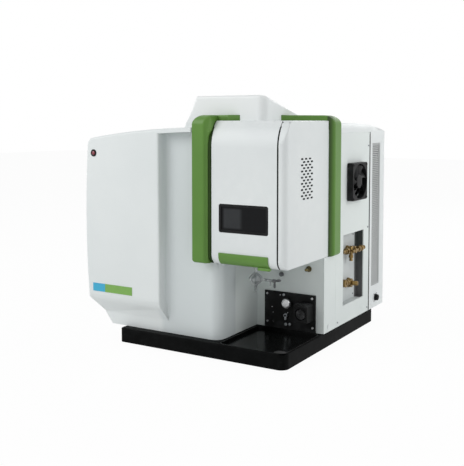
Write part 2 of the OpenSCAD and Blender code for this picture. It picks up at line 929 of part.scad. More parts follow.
module hood_shell() {
  lead = hinge_y + hinge_free + 1;
  vent_y = y_h + 96.5;
  vent_z = z_h - 106.5;
  color([0.89, 0.91, 0.91]) difference() {
    union() {
      difference() {
        intersection() {
          along_z(hood_z, z_h) rounded([x_c, y_h], [x_r, y_hr], [0, hood_r, 0, 0]);
          along_x(x_c, x_r) hood_profile(0);
        }
        intersection() {
          along_z(hood_z - cut, z_h - wall)
            rounded([x_c + wall, y_h + wall], [x_r - wall, y_hr - wall], [0, hood_r - wall, 0, 0]);
          union() {
            along_x(x_c, x_r) hood_profile(wall);
            block([x_c, y_c, hood_z - cut], [x_r, y_hr, z_h - wall]);
            block([x_c, y_h + door_foot_d + wall, hood_z - cut], [x_r, y_hr, hood_z + wall]);
          }
        }
        block([x_c - cut, y_h - cut, 0], [x_r - strip_w, y_c, far]);
        block([x_c - cut, y_h - cut, hinge_z - hinge_free], [x_r - strip_w, lead, far]);
      }
      knuckles(hood_knuckles, knuckle_r);
      for (x = hood_knuckles) {
        block([x, hinge_y, z_h - wall], [x + knuckle_l, lead + cut, z_h]);
      }
    }
    rod_x(pin_r + clearance, x_c, x_r - strip_w, hinge_y, hinge_z);
    rod_z(duct_r, z_h - wall - cut, z_h + cut, duct_x, duct_y);
    rod_x(view_r + clearance, x_c - cut, x_c + wall + cut, ty, view_z);
    for (row = [0:vent_rows - 1], col = [0:vent_cols - 1]) {
      y = vent_y + (col + (row % 2) / 2) * vent_step;
      vent_slot(y, vent_z - row * vent_pitch);
    }
  }
}

module hood_floor() {
  color([0.8, 0.82, 0.82]) difference() {
    block([x_c + wall, y_c, hood_z], [x_r - wall, y_hr - wall, floor_top]);
    rod_z(stem_r + cut, hood_z - cut, floor_top + cut, tx, ty);
  }
}

module trim_hoop() {
  r = hoop_r;
  foot = hoop_r / 3;
  lead = hinge_y + hinge_free + 1;
  color([0.38, 0.55, 0.27]) difference() {
    intersection() {
      along_z(hood_z, hoop_top) hoop_slab(0);
      along_x(-far, far) rounded([hoop_front, hood_z], [y_j, hoop_top], [foot, 0, 0, r]);
      along_y(-far, far) rounded([-far, hood_z], [hoop_right, hoop_top], [0, foot, r, 0]);
    }
    along_y(y_c, y_j) housing_section(0);
    block([-far, y_c, 0], [x_r, y_j, z_s]);
    block([leg_x1, -far, 0], [far, y_c, z_h - hoop_r]);
    block([x_d0 - door_gap, -far, 0], [far, lead, far]);
    block([x_c, y_h, 0], [x_r, y_hr, z_h]);
  }
}

module hinge_pin() {
  color([0.7, 0.7, 0.72]) rod_x(pin_r, hood_knuckles[0], hood_knuckles[1] + knuckle_l, hinge_y, hinge_z);
}

// Door
module window_outline(g) {
  x = x_d0 + window_x;
  z = hood_z + window_z;
  rounded([x - g, z - g], [x + window_w + g, z + window_h + g],
    [window_r + g, window_r + g, window_r + g, window_r + g]);
}

module door_panel() {
  color([0.9, 0.92, 0.92]) difference() {
    union() {
      difference() {
        intersection() {
          along_x(x_d0, x_d1) hood_profile(0);
          union() {
            block([x_d0, y_h, hood_z], [x_d1, y_d, z_h]);
            block([x_d0, y_h, hinge_z - hinge_free], [x_d1, hinge_y - 1, z_h]);
          }
        }
        along_x(x_d0 + wall, x_d1 - wall) hood_profile(wall);
      }
      knuckles(door_knuckles, knuckle_r);
      intersection() {
        along_x(x_d0, x_d1) hood_profile(0);
        for (x = door_knuckles) {
          block([x, hinge_y - 3 * knuckle_r, hinge_z - knuckle_r / 2], [x + knuckle_l, hinge_y, z_h]);
        }
      }
    }
    rod_x(pin_r + clearance, x_d0, x_d1, hinge_y, hinge_z);
    for (x = hood_knuckles) {
      rod_x(hinge_free, x - ease, x + knuckle_l + ease, hinge_y, hinge_z);
    }
    along_y(y_h - cut, y_h + wall + cut) window_outline(0);
  }
}

module door_window() {
  color([0.07, 0.07, 0.08]) {
    along_y(y_h + 1, y_h + wall) window_outline(-ease / 2);
    along_y(y_h + wall, y_h + wall + 3) window_outline(6);
  }
}

module door_handle() {
  x = x_d0 + window_x;
  color([0.38, 0.54, 0.25]) difference() {
    intersection() {
      along_x(x, x + window_w) translate([-handle_t, 0]) hood_profile(0);
      block([x, y_h - far, hood_z], [x + window_w, y_d, hood_z + handle_h]);
    }
    along_x(x - cut, x + window_w + cut) hood_profile(0);
  }
}

// Left panel's button and strip
module power_bezel() {
  color([0.05, 0.05, 0.055]) difference() {
    union() {
      rod_y(flange_r, y_p - bezel_t, y_p, button_x, button_z);
      rod_y(bezel_r, y_p, y_p + bezel_d, button_x, button_z);
    }
    rod_y(button_r + clearance, y_p - far, y_p + bezel_d - 3, button_x, button_z);
  }
}

module power_button() {
  color([0.55, 0.08, 0.12])
    rod_y(button_r, y_p - button_head, y_p + bezel_d - 3 - button_travel - 0.2, button_x, button_z);
}

module badge(x0, x1) {
  block([x0, y_p - badge_t, z_0 + badge_z], [x1, y_p, z_0 + badge_z + badge_h]);
}

module badge_blue() {
  color([0.24, 0.7, 0.84]) badge(x_l + badge_x, x_l + badge_x + badge_split);
}

module badge_green() {
  color([0.5, 0.69, 0.33]) badge(x_l + badge_x + badge_split, x_l + badge_x + badge_w);
}

// Torch and what feeds it
module torch_tube() {
  inner = torch_r - 2 * glass_t - cut;
  inner_top = torch_z + torch_h - inner_drop;
  color([0.8, 0.85, 0.87]) {
    difference() {
      rod_z(torch_r, torch_z, torch_z + torch_h, tx, ty);
      rod_z(torch_r - glass_t, torch_z + torch_foot, torch_z + torch_h + cut, tx, ty);
      rod_z(stem_r - glass_t, torch_z - cut, torch_z + torch_foot + cut, tx, ty);
    }
    difference() {
      rod_z(inner, torch_z + torch_foot - cut, inner_top, tx, ty);
      rod_z(inner - glass_t, torch_z + torch_foot, inner_top + cut, tx, ty);
      rod_z(stem_r - glass_t, torch_z, torch_z + torch_foot + cut, tx, ty);
    }
    difference() {
      rod_z(stem_r, torch_z + torch_foot - cut, inner_top - jet_drop, tx, ty);
      rod_z(stem_r - glass_t, torch_z, inner_top, tx, ty);
    }
  }
}

module torch_mount() {
  w = torch_r + mount_rim;
  color([0.3, 0.31, 0.32]) difference() {
    block([tx - w, ty - w, floor_top], [tx + w, ty + w, torch_z]);
    rod_z(stem_r + clearance, floor_top - cut, torch_z + cut, tx, ty);
  }
}

module induction_plates() {
  back = y_hr - wall - block_d;
  color([0.75, 0.5, 0.35]) for (k = [0, 1]) {
    z = coil_z + k * (plate_t + plate_gap);
    difference() {
      block([tx - plate_w / 2, ty - plate_w / 2, z], [tx + plate_w / 2, back, z + plate_t]);
      rod_z(torch_r + plate_clear, z - cut, z + plate_t + cut, tx, ty);
      block([tx - cut, ty - plate_w, z - cut], [tx + cut, ty, z + plate_t + cut]);
    }
  }
}

module plate_block() {
  back = y_hr - wall - block_d;
  color([0.85, 0.86, 0.84]) block([tx - plate_w / 2, back, coil_z - block_rim],
    [tx + plate_w / 2, y_hr - wall, coil_z + 2 * plate_t + plate_gap + block_rim]);
}

module view_window() {
  color([0.7, 0.8, 0.85]) {
    rod_x(view_r, x_c, x_c + wall, ty, view_z);
    rod_x(view_r + flange_w, x_c + wall, x_c + wall + flange_t, ty, view_z);
  }
}

module view_tube() {
  color([0.3, 0.3, 0.32]) difference() {
    rod_x(view_r, opt_x1, x_c, ty, view_z);
    rod_x(view_r - tube_t, opt_x1 - cut, x_c + cut, ty, view_z);
  }
}

module spray_chamber() {
  waist = chamber_h / 2;
  color([0.55, 0.58, 0.58]) difference() {
    union() {
      translate([tx, ty, chamber_top - chamber_h]) rotate_extrude() polygon([[0, 0], [stem_r + 2, 0],
        [chamber_r, waist - 3], [chamber_r, waist + 3], [stem_r + 2, chamber_h], [0, chamber_h]]);
      rod_z(stem_r, chamber_top - 2, torch_z, tx, ty);
      rod_z(stem_r, chamber_top - chamber_h - drain_h, chamber_top - chamber_h + 2, tx, ty);
      rod_x(neb_r + 2, tx, neb_x, ty, chamber_mid);
    }
    translate([tx, ty, chamber_top - chamber_h]) rotate_extrude() polygon([[0, glass_t],
      [stem_r + 1, glass_t], [chamber_r - glass_t, waist - 3], [chamber_r - glass_t, waist + 3],
      [stem_r + 1, chamber_h - glass_t], [0, chamber_h - glass_t]]);
    rod_z(stem_r - glass_t, chamber_top - chamber_h - drain_h - cut, torch_z + cut, tx, ty);
    rod_x(neb_r + clearance, tx, neb_x + cut, ty, chamber_mid);
  }
}

module nebulizer() {
  color([0.6, 0.63, 0.63]) {
    rod_x(neb_r, neb_x - neb_in, neb_x + neb_l, ty, chamber_mid);
    rod_z(neb_r - cut, chamber_mid - side_arm, chamber_mid, neb_x + neb_l - neb_in, ty);
  }
}

module gas_fitting() {
  x = neb_x + neb_l;
  color([0.42, 0.43, 0.42]) {
    rod_x(neb_r + cut, x, x + collar_l, ty, chamber_mid);
    for (a = [80, 180]) {
      translate([x + collar_l - branch_in, ty, chamber_mid]) rotate([0, a, 0])
        cylinder(r = branch_r, h = branch_l);
    }
  }
}

// Optics on isolators
module optics_housing() {
  color([0.33, 0.34, 0.35]) difference() {
    block([opt_x0, opt_y0, opt_z0], [opt_x1, opt_y0 + optics_d, opt_z1]);
    block([opt_x0 + optics_t, opt_y0 + optics_t, opt_z0 + optics_t],
      [opt_x1 - optics_t, opt_y0 + optics_d - optics_t, opt_z1 + cut]);
    rod_x(view_r - tube_t, opt_x1 - 2 * optics_t, opt_x1 + cut, ty, view_z);
  }
}

module optics_lid() {
  color([0.36, 0.37, 0.38])
    block([opt_x0, opt_y0, opt_z1], [opt_x1, opt_y0 + optics_d, opt_z1 + optics_t]);
}

module optics_isolators() {
  in = isolator_r + 8;
  color([0.07, 0.07, 0.07])
    for (x = [opt_x0 + in, opt_x1 - in], y = [y_f + 2 + in, opt_y0 + optics_d - in]) {
      rod_z(isolator_r, z_deck, opt_z0, x, y);
    }
}

module focus_mirror() {
  x = opt_x0 + optics_t;
  color([0.75, 0.78, 0.8]) {
    block([x, ty - mirror_r + ruled_rim, opt_z0 + optics_t],
      [x + mirror_t, ty + mirror_r - ruled_rim, view_z - mirror_r / 2]);
    rod_x(mirror_r, x, x + mirror_t, ty, view_z);
  }
}

module grating() {
  x = opt_x1 - optics_t - ruled_t - stand_t;
  y = opt_y0 + optics_d - optics_t - optics_rear - grating_w;
  z = opt_z0 + optics_t;
  color([0.6, 0.65, 0.75]) {
    block([x, y, z], [x + stand_t, y + grating_w, z + grating_h]);
    block([x - ruled_t, y + ruled_rim, z + grating_h / 3],
      [x, y + grating_w - ruled_rim, z + grating_h - ruled_t]);
  }
}

module detector_module() {
  x = opt_x0 + optics_t;
  y = opt_y0 + optics_d - optics_t - optics_rear - detector_w;
  color([0.2, 0.3, 0.25])
    block([x, y, opt_z0 + optics_t], [x + detector_t, y + detector_w, opt_z0 + optics_t + detector_h]);
}

// Electronics
module generator_box() {
  color([0.72, 0.74, 0.74]) block([shelf_x + generator_gap, shelf_y + generator_gap, shelf_z],
    [post_x1 - generator_gap, post_y1 - generator_rear, shelf_z + generator_h]);
}

module power_supply() {
  x0 = shelf_x + post_w + generator_gap;
  y0 = y_b + wall + motor_l + supply_gap;
  color([0.66, 0.68, 0.68])
    block([x0, y0, z_deck], [serv_back - supply_side, post_y1 - supply_side, z_deck + supply_h]);
}

module control_board() {
  x0 = opt_x0 + optics_rear;
  z0 = opt_z0;
  y = deck_y1 - board_stand;
  color([0.1, 0.35, 0.2]) {
    block([x0, y - board_t, z0], [x0 + board_w, y, z0 + board_h]);
    for (px = [x0 + board_in, x0 + board_w - board_in], pz = [z0 + board_in, z0 + board_h - board_in]) {
      rod_y(board_pin_r, y, deck_y1, px, pz);
    }
  }
}

// Peristaltic pump
module pump_plate() {
  color([0.08, 0.08, 0.085]) difference() {
    union() {
      block([plate_x0, plate_y, z_0], [plate_x1, y_b, plate_top]);
      rod_y(stud_r, plate_y - knob_d + stud_short, y_b, knob_x, knob_z);
      rod_y(stud_r, plate_y - lever_stud, y_b, lever_x, lever_z);
    }
    rod_y(shaft_r + cut, plate_y - far, y_b + cut, head_x, head_z);
  }
}

module pump_head() {
  w = head_w / 2;
  h = head_h / 2;
  color([0.1, 0.1, 0.105]) difference() {
    block([head_x - w, head_front, head_z - h], [head_x + w, plate_y, head_z + h]);
    rod_y(pocket_r, head_front - cut, pocket_back, head_x, head_z);
    rod_y(shaft_r + cut, head_front, plate_y + cut, head_x, head_z);
  }
}

module pump_rotor() {
  y0 = head_front + rotor_gap;
  y1 = pocket_back - 1;
  color([0.5, 0.52, 0.53]) {
    rod_y(shaft_r, y0, y_b + wall + shaft_in, head_x, head_z);
    rod_y(roller_ring - roller_r - 1, y0, y1, head_x, head_z);
    rod_y(rotor_r, y0, y0 + disc_t, head_x, head_z);
    rod_y(rotor_r, y1 - disc_t, y1, head_x, head_z);
  }
}

module pump_rollers() {
  y0 = head_front + rotor_gap + disc_t;
  y1 = pocket_back - 1 - disc_t;
  color([0.8, 0.8, 0.78]) for (k = [0:5]) {
    rod_y(roller_r, y0, y1, head_x + roller_ring * cos(60 * k), head_z + roller_ring * sin(60 * k));
  }
}

module pump_motor() {
  y0 = y_b + wall;
  color([0.4, 0.41, 0.42]) difference() {
    rod_y(motor_r, y0, y0 + motor_l, head_x, head_z);
    rod_y(shaft_r + clearance, y0 - cut, y0 + shaft_in + cut, head_x, head_z);
  }
}

module tension_knob() {
  back = plate_y - knob_gap;
  color([0.78, 0.79, 0.8]) difference() {
    union() {
      rod_y(knob_r, back - knob_d, back - boss_d, knob_x, knob_z);
      rod_y(knob_r - 4, back - boss_d, back, knob_x, knob_z);
    }
    rod_y(stud_r + clearance, plate_y - knob_d + stud_short - cut, plate_y + cut, knob_x, knob_z);
  }
}

module release_lever() {
  back = plate_y - knob_gap;
  color([0.74, 0.75, 0.76]) difference() {
    union() {
      rod_y(lever_r, back - lever_t, back, lever_x, lever_z);
      block([lever_x - lever_w / 2, back - lever_t, lever_z - lever_l],
        [lever_x + lever_w / 2, back - rotor_gap, lever_z]);
    }
    rod_y(stud_r + clearance, back - far, plate_y + cut, lever_x, lever_z);
  }
}

// Fan
module fan_frame() {
  w = fan_w / 2;
  color([0.06, 0.06, 0.065]) {
    difference() {
      along_x(x_r, x_r + fan_t)
        rounded([fan_c[1] - w, fan_c[2] - w], [fan_c[1] + w, fan_c[2] + w], [6, 6, 6, 6]);
      rod_x(duct_fan, x_r - cut, x_r + fan_t + cut, fan_c[1], fan_c[2]);
    }
    rod_x(hub_r, x_r, x_r + spider_t, fan_c[1], fan_c[2]);
    for (k = [0:3]) {
      translate([x_r, fan_c[1], fan_c[2]]) rotate([45 + 90 * k, 0, 0])
        block([0, hub_r - spider_t, -spider_t], [spider_t, duct_fan + fan_rim / 2, spider_t]);
    }
    rod_x(stud_r, x_r, x_r + fan_t - 5, fan_c[1], fan_c[2]);
  }
}

module fan_rotor() {
  x0 = x_r + spider_t + 1;
  x1 = x_r + fan_t - 2;
  color([0.09, 0.09, 0.095]) translate([0, fan_c[1], fan_c[2]]) difference() {
    union() {
      rod_x(hub_r, x0, x1, 0, 0);
      for (k = [0:fan_blades - 1]) {
        rotate([360 / fan_blades * k, 0, 0]) intersection() {
          rod_x(blade_r, x0, x1, 0, 0);
          translate([(x0 + x1) / 2, 0, 0]) rotate([0, 0, 50])
            translate([-far, -1.25, hub_r - 4]) cube([2 * far, 2.5, blade_r]);
        }
      }
    }
    rod_x(stud_r + clearance, x0 - cut, x_r + fan_t - 4, 0, 0);
  }
}

// Service recess with its brass fittings
module service_recess() {
  color([0.82, 0.84, 0.84]) difference() {
    block([serv_back - wall, serv_y0 - wall, service_z - wall],
      [x_r - wall, serv_y1 + wall, serv_z1 + wall]);
    block([serv_back, serv_y0, service_z], [x_r, serv_y1, serv_z1]);
  }
}

// Hexagon along X
module hex_x(r, x0, x1, y, z) {
  translate([x0, y, z]) rotate([0, 90, 0]) cylinder(r = r, h = x1 - x0, $fn = 6);
}

module gas_valve() {
  x = serv_back;
  color([0.6, 0.48, 0.25]) {
    rod_x(brass_r - 3, x, wing_x - 1, gas_y, gas_z);
    hex_x(brass_r, x, x + hex_t, gas_y, gas_z);
    rod_x(brass_r, x + hex_t + 3, wing_x - 3, gas_y, gas_z);
    rod_x(stud_r, x, wing_x + wing_t - 3, gas_y, gas_z);
    rod_z(barb_r - 2, gas_z - brass_r - barb_l, gas_z, x + hex_t + 8, gas_y);
  }
}

module valve_wing() {
  color([0.6, 0.48, 0.25]) difference() {
    union() {
      rod_x(brass_r - 6, wing_x, wing_x + wing_t, gas_y, gas_z);
      block([wing_x + 1, gas_y - wing_w / 2, gas_z - 4],
        [wing_x + wing_t - 1, gas_y + wing_w / 2, gas_z + 4]);
    }
    rod_x(stud_r + clearance, wing_x - cut, wing_x + wing_t - 2, gas_y, gas_z);
  }
}

module coolant_fitting() {
  x = serv_back;
  color([0.6, 0.48, 0.25]) {
    hex_x(brass_r + 2, x, x + hex_t, cool_y, cool_z);
    rod_x(brass_r, x + hex_t, x + hex_t + 8, cool_y, cool_z);
    rod_x(barb_r, x + hex_t + 8, x + hex_t + 8 + barb_l, cool_y, cool_z);
  }
}

module cable_gland() {
  color([0.05, 0.05, 0.05]) {
    rod_x(gland_r - wall, x_r - wall, x_r, gland_y, gland_z);
    hex_x(gland_r, x_r, x_r + 5, gland_y, gland_z);
    rod_x(gland_r - 2, x_r + 5, x_r + 12, gland_y, gland_z);
    rod_x(gland_r, x_r - wall - 4, x_r - wall, gland_y, gland_z);
  }
}

base_plinth();
rubber_feet();
drip_tray();
chassis_deck();
chassis_frame();
front_cover();
left_side_panel();
bay_left_panel();
bay_back_panel();
corner_panel();
right_side_panel();
top_cover();
rear_panel();
rear_cover();
rear_louvre();
exhaust_hump();
exhaust_duct();
hood_shell();
hood_floor();
trim_hoop();
hinge_pin();
door_panel();
door_window();
door_handle();
power_bezel();
power_button();
badge_blue();
badge_green();
torch_tube();
torch_mount();
induction_plates();
plate_block();
view_window();
view_tube();
spray_chamber();
nebulizer();
gas_fitting();
optics_housing();
optics_lid();
optics_isolators();
focus_mirror();
grating();
detector_module();
generator_box();
power_supply();
control_board();
pump_plate();
pump_head();
pump_rotor();
pump_rollers();
pump_motor();
tension_knob();
release_lever();
fan_frame();
fan_rotor();
service_recess();
gas_valve();
valve_wing();
coolant_fitting();
cable_gland();
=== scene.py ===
import json
from math import cos, hypot, pi, radians, sin, tan

import bmesh
import bpy
from mathutils import Matrix, Vector


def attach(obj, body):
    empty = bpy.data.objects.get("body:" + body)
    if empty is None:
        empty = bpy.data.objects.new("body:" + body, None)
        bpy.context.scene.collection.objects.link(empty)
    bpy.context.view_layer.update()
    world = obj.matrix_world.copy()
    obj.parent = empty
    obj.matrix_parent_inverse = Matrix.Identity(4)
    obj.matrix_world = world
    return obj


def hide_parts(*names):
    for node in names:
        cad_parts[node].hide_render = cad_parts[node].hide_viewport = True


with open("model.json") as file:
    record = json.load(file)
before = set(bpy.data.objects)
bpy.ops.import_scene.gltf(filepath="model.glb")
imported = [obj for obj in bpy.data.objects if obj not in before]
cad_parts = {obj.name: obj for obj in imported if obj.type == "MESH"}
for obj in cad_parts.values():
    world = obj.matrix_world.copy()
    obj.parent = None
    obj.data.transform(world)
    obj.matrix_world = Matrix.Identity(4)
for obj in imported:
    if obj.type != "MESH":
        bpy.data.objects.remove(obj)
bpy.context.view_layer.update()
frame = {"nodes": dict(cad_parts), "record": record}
nodes = frame["nodes"]
body_of = {n: b for b, members in frame["record"]["behaviour"]["bodies"].items() for n in members}
slot_of = {part["node"]: part["material_slot"] for part in frame["record"]["subparts"]}

# Pieces are drawn in millimetres and brought to metres when they are finished, grain of surfaces is in micrometres
MM, MICRON = 0.001, 1e-6
X, Y, Z = Vector((1, 0, 0)), Vector((0, 1, 0)), Vector((0, 0, 1))
ORIGIN = (0, 0, 0)
# Turn from which an edge is rounded, turn up to which a run of edges goes on, turn that is shaded sharp
SHARP, BEND, CREASE = radians(24), radians(40), radians(32)
# How far the cutter of a rounding reaches past the end of its run
END_PLAY = 1.5
# Share of the room beside an edge that its rounding takes, in narrow and in wide places, and what counts as wide
SHARES, WIDE = (0.22, 0.42), 12
# Distance within which a solid's points are one, turn below which its faces are one, length of an edge to divide
WELD, FLAT, LONG_EDGE = 0.004, radians(0.05), 90
# How near a point of a face is to that face
NEAR = 0.5
# Faces of the solids: right side, rear, recess liner, bay's back wall, pump plate, raised left panel
SIDE_X, REAR_Y, RECESS_X, BAY_Y, PLATE_Y, PANEL_Y = 340, 381, 316, -119, -123, -377
# Roof, foot and rear of the hood, its edge at the split line, sides of the door, outer faces of the hoop
HOOD_TOP, HOOD_FOOT, HOOD_REAR, SPLIT_X = 681, 275, -93, 315
DOOR_SIDES = (101, 313)
HOOP = Vector((354, -381, 697))
FAN = Vector((SIDE_X, 105.5, 489.5))
BUTTON = Vector((-323, -368.2, 582))


# Node trees
def math_node(operation, swapped=False):
    """A method that joins a socket and another value in a Math node."""
    def method(self, other=0):
        values = (other, self) if swapped else (self, other)
        return self.graph.node("ShaderNodeMath", dict(enumerate(values)), operation=operation)
    return method


class Socket:
    """An output of a node. Sums on it add Math nodes to its tree."""

    def __init__(self, graph, link):
        self.graph = graph
        self.link = link

    __add__ = __radd__ = math_node("ADD")
    __sub__, __rsub__ = math_node("SUBTRACT"), math_node("SUBTRACT", True)
    __mul__, __truediv__ = math_node("MULTIPLY"), math_node("DIVIDE")
    __mod__, __abs__ = math_node("FLOORED_MODULO"), math_node("ABSOLUTE")
    __lt__, highest = math_node("LESS_THAN"), math_node("MAXIMUM")


class Graph:
    """A node tree that is written from empty. Its nodes are of one family unless their kind says another."""
    family = "ShaderNode"

    def __init__(self, tree):
        self.tree = tree
        tree.nodes.clear()

    def node(self, kind, values=None, out=0, **settings):
        made = self.tree.nodes.new(kind if "Node" in kind else self.family + kind)
        for name, value in settings.items():
            setattr(made, name, value)
        for name, value in (values or {}).items():
            socket = self.find(made.inputs, name)
            if isinstance(value, Socket):
                self.tree.links.new(value.link, socket)
            else:
                socket.default_value = value
        return Socket(self, self.find(made.outputs, out))

    @staticmethod
    def find(sockets, name):
        if isinstance(name, int):
            return sockets[name]
        return next(s for s in sockets if name in (s.identifier, s.name))


def srgb(red, green, blue):
    """A colour of the screen as the shader takes it."""
    parts = [c / 255 for c in (red, green, blue)]
    return tuple(c / 12.92 if c <= 0.04045 else ((c + 0.055) / 1.055) ** 2.4 for c in parts) + (1,)


class Finish(Graph):
    """A material written from the piece's own coordinates."""

    def __init__(self, name):
        self.material = bpy.data.materials.new(name)
        self.material.use_nodes = True
        super().__init__(self.material.node_tree)
        self.place = self.node("TexCoord", out="Object")

    def along(self, axis):
        return self.node("SeparateXYZ", {0: self.place}, out=axis)

    def noise(self, scale, detail=2, stretch=None):
        place = self.place
        if stretch:
            place = self.node("Mapping", {"Vector": place, "Scale": stretch})
        return self.node("TexNoise", {"Vector": place, "Scale": scale, "Detail": detail})

    def ease(self, value, low, high):
        return self.node("MapRange", {"Value": value, "From Min": low, "From Max": high},
            interpolation_type="SMOOTHSTEP")

    def blend(self, share, a, b):
        """A mix of two colours, each a socket or a colour of the screen."""
        a, b = (c if isinstance(c, Socket) else srgb(*c) for c in (a, b))
        return self.node("Mix", {"Factor_Float": share, "A_Color": a, "B_Color": b}, "Result_Color", data_type="RGBA")

    def gloss(self, rough, clouds):
        return rough + (clouds - 0.5) * 0.12 + (self.noise(60, 3) - 0.5) * 0.08

    def edges(self):
        return self.ease(self.node("NewGeometry", out="Pointiness"), 0.51, 0.58)

    def surface(self, colour, roughness, relief, depth, metallic=0, **fixed):
        bump = self.node("Bump", {"Height": relief, "Distance": depth * MICRON, "Strength": 1})
        values = {"Base Color": colour, "Roughness": roughness, "Metallic": metallic, "Normal": bump}
        values.update({name.replace("_", " "): value for name, value in fixed.items()})
        shader = self.node("BsdfPrincipled", values)
        end = self.tree.nodes.new("ShaderNodeOutputMaterial")
        self.tree.links.new(shader.link, end.inputs["Surface"])
        return self.material


def moulding(name, colour, shade, rough, grain=900, depth=40, wear=0.25, pale=None, **fixed):
    """Moulded or coated surface: faint clouds in the colour, a fine grain and rubbed edges."""
    f = Finish(name)
    clouds = f.noise(3.5, 3)
    grains = f.noise(grain)
    rubbed = f.edges() * f.ease(f.noise(40, 4), 0.35, 0.7) * wear
    tone = f.blend(f.ease(clouds, 0.3, 0.7), colour, shade)
    tone = f.blend(f.ease(grains, 0.55, 0.8) * 0.12, tone, shade)
    tone = f.blend(rubbed, tone, pale or colour)
    return f.surface(tone, f.gloss(rough, clouds), grains, depth, **fixed)


def metal(name, colour, shade, rough, stretch, scale=60, depth=30, stain=0.35):
    """Bare metal: lines drawn out along one way, with duller stains."""
    f = Finish(name)
    lines = f.noise(scale, 3, stretch)
    stains = f.ease(f.noise(55, 4), 0.45, 0.72)
    tone = f.blend(lines, shade, colour)
    tone = f.blend(stains * stain, tone, shade)
    gloss = rough + (lines - 0.5) * 0.2 + stains * 0.15
    return f.surface(tone, gloss, lines, depth, metallic=1.0)


def front_painted_shade_finish(name, colour, painted_shade_tone):
    """White moulding with painted shade: greyer from the raised panel to the column, which sits back in shade."""
    f = Finish(name)
    clouds, grains = f.noise(3.5, 3), f.noise(900)
    # Painted shade on the groove and on the column set back behind the raised panel
    sunk = f.ease(f.along("Y"), -0.3765, -0.352) * f.ease(f.along("X"), -0.1, -0.077)
    tone = f.blend(f.ease(clouds, 0.3, 0.7) * 0.25, f.blend(sunk, colour, painted_shade_tone), painted_shade_tone)
    return f.surface(tone, f.gloss(0.42, clouds), grains, 40)


def green_finish(name, colour, shade, painted_shade_tone):
    """Green moulding, lighter on its edges, with painted shade in the narrow corner beside the hood."""
    f = Finish(name)
    x, y = f.along("X"), f.along("Y")
    clouds, grains = f.noise(3.5, 3), f.noise(800)
    # Painted shade on the hoop's right leg in the narrow corner behind the hood's right side, which is also rougher
    corner = f.ease(x, 0.334, 0.338) * (1 - f.ease(x, 0.341, 0.3545)) * (1 - f.ease(y, -0.075, -0.06))
    tone = f.blend(f.ease(clouds, 0.3, 0.7), colour, shade)
    tone = f.blend(f.edges() * 0.3, tone, (136, 174, 102))
    tone = f.blend(corner * (0.85 + f.noise(30, 3) * 0.2), tone, painted_shade_tone)
    gloss = 0.36 + (clouds - 0.5) * 0.12 + corner * 0.2
    return f.surface(tone, gloss, grains, 40, Specular_IOR_Level=0.3)


def glass(name, colour, rough, share):
    """Clear or grey glass with faint drawn lines and a film of use."""
    f = Finish(name)
    film = f.noise(70, 3, (1, 1, 0.2))
    tone = f.blend(f.ease(film, 0.3, 0.75), colour, (235, 240, 240))
    return f.surface(tone, rough + (film - 0.5) * 0.1, film, 50, Transmission_Weight=share, IOR=1.45)


def pane_finish(name):
    """Dark viewing pane with painted light: paler in the half that has the lit compartment behind it."""
    f = Finish(name)
    x, z = f.along("X"), f.along("Z")
    # Painted light of the lit compartment behind the pane, in its left half
    left = 1 - f.ease(x, 0.190, 0.206)
    inner = f.ease(z, 0.376, 0.384) * (1 - f.ease(z, 0.431, 0.439)) * f.ease(x, 0.138, 0.146)
    dust = f.noise(900)
    tone = f.blend(left * inner * (0.8 + f.noise(25) * 0.4), (17, 18, 20), (52, 54, 56))
    return f.surface(tone, 0.16 + f.noise(30, 3) * 0.1, dust, 10, Specular_IOR_Level=0.12)


def recess_painted_shade_finish(name):
    """Sheet liner of the service recess, with painted shade at its rear end, darker towards the top."""
    f = Finish(name)
    peel = f.noise(700)
    # Painted shade on the rear side wall of the recess and the back wall next to it
    dark = f.ease(f.along("Y"), 0.166, 0.170)
    pale = f.blend(f.ease(f.noise(9, 3), 0.3, 0.7), (206, 211, 211), (188, 194, 195))
    painted_shade_tone = f.blend(f.ease(f.along("Z"), 0.1, 0.32), (92, 92, 93), (62, 68, 67))
    return f.surface(f.blend(dark, pale, painted_shade_tone), 0.5 + (peel - 0.5) * 0.2, peel, 50)


def board_finish(name):
    """Circuit board: masked copper tracks on a grid with tinned pads."""
    f = Finish(name)
    x, z = f.along("X"), f.along("Z")
    tracks = (abs((x * 160) % 1 - 0.5) < 0.16).highest(abs((z * 110) % 1 - 0.5) < 0.12)
    tracks = tracks * f.ease(f.noise(45), 0.45, 0.5)
    pads = f.ease(f.noise(220, 0), 0.66, 0.68)
    tone = f.blend(tracks, (22, 84, 48), (44, 122, 70))
    tone = f.blend(pads, tone, (196, 196, 186))
    return f.surface(tone, 0.42 - pads * 0.12, tracks + pads, 60)


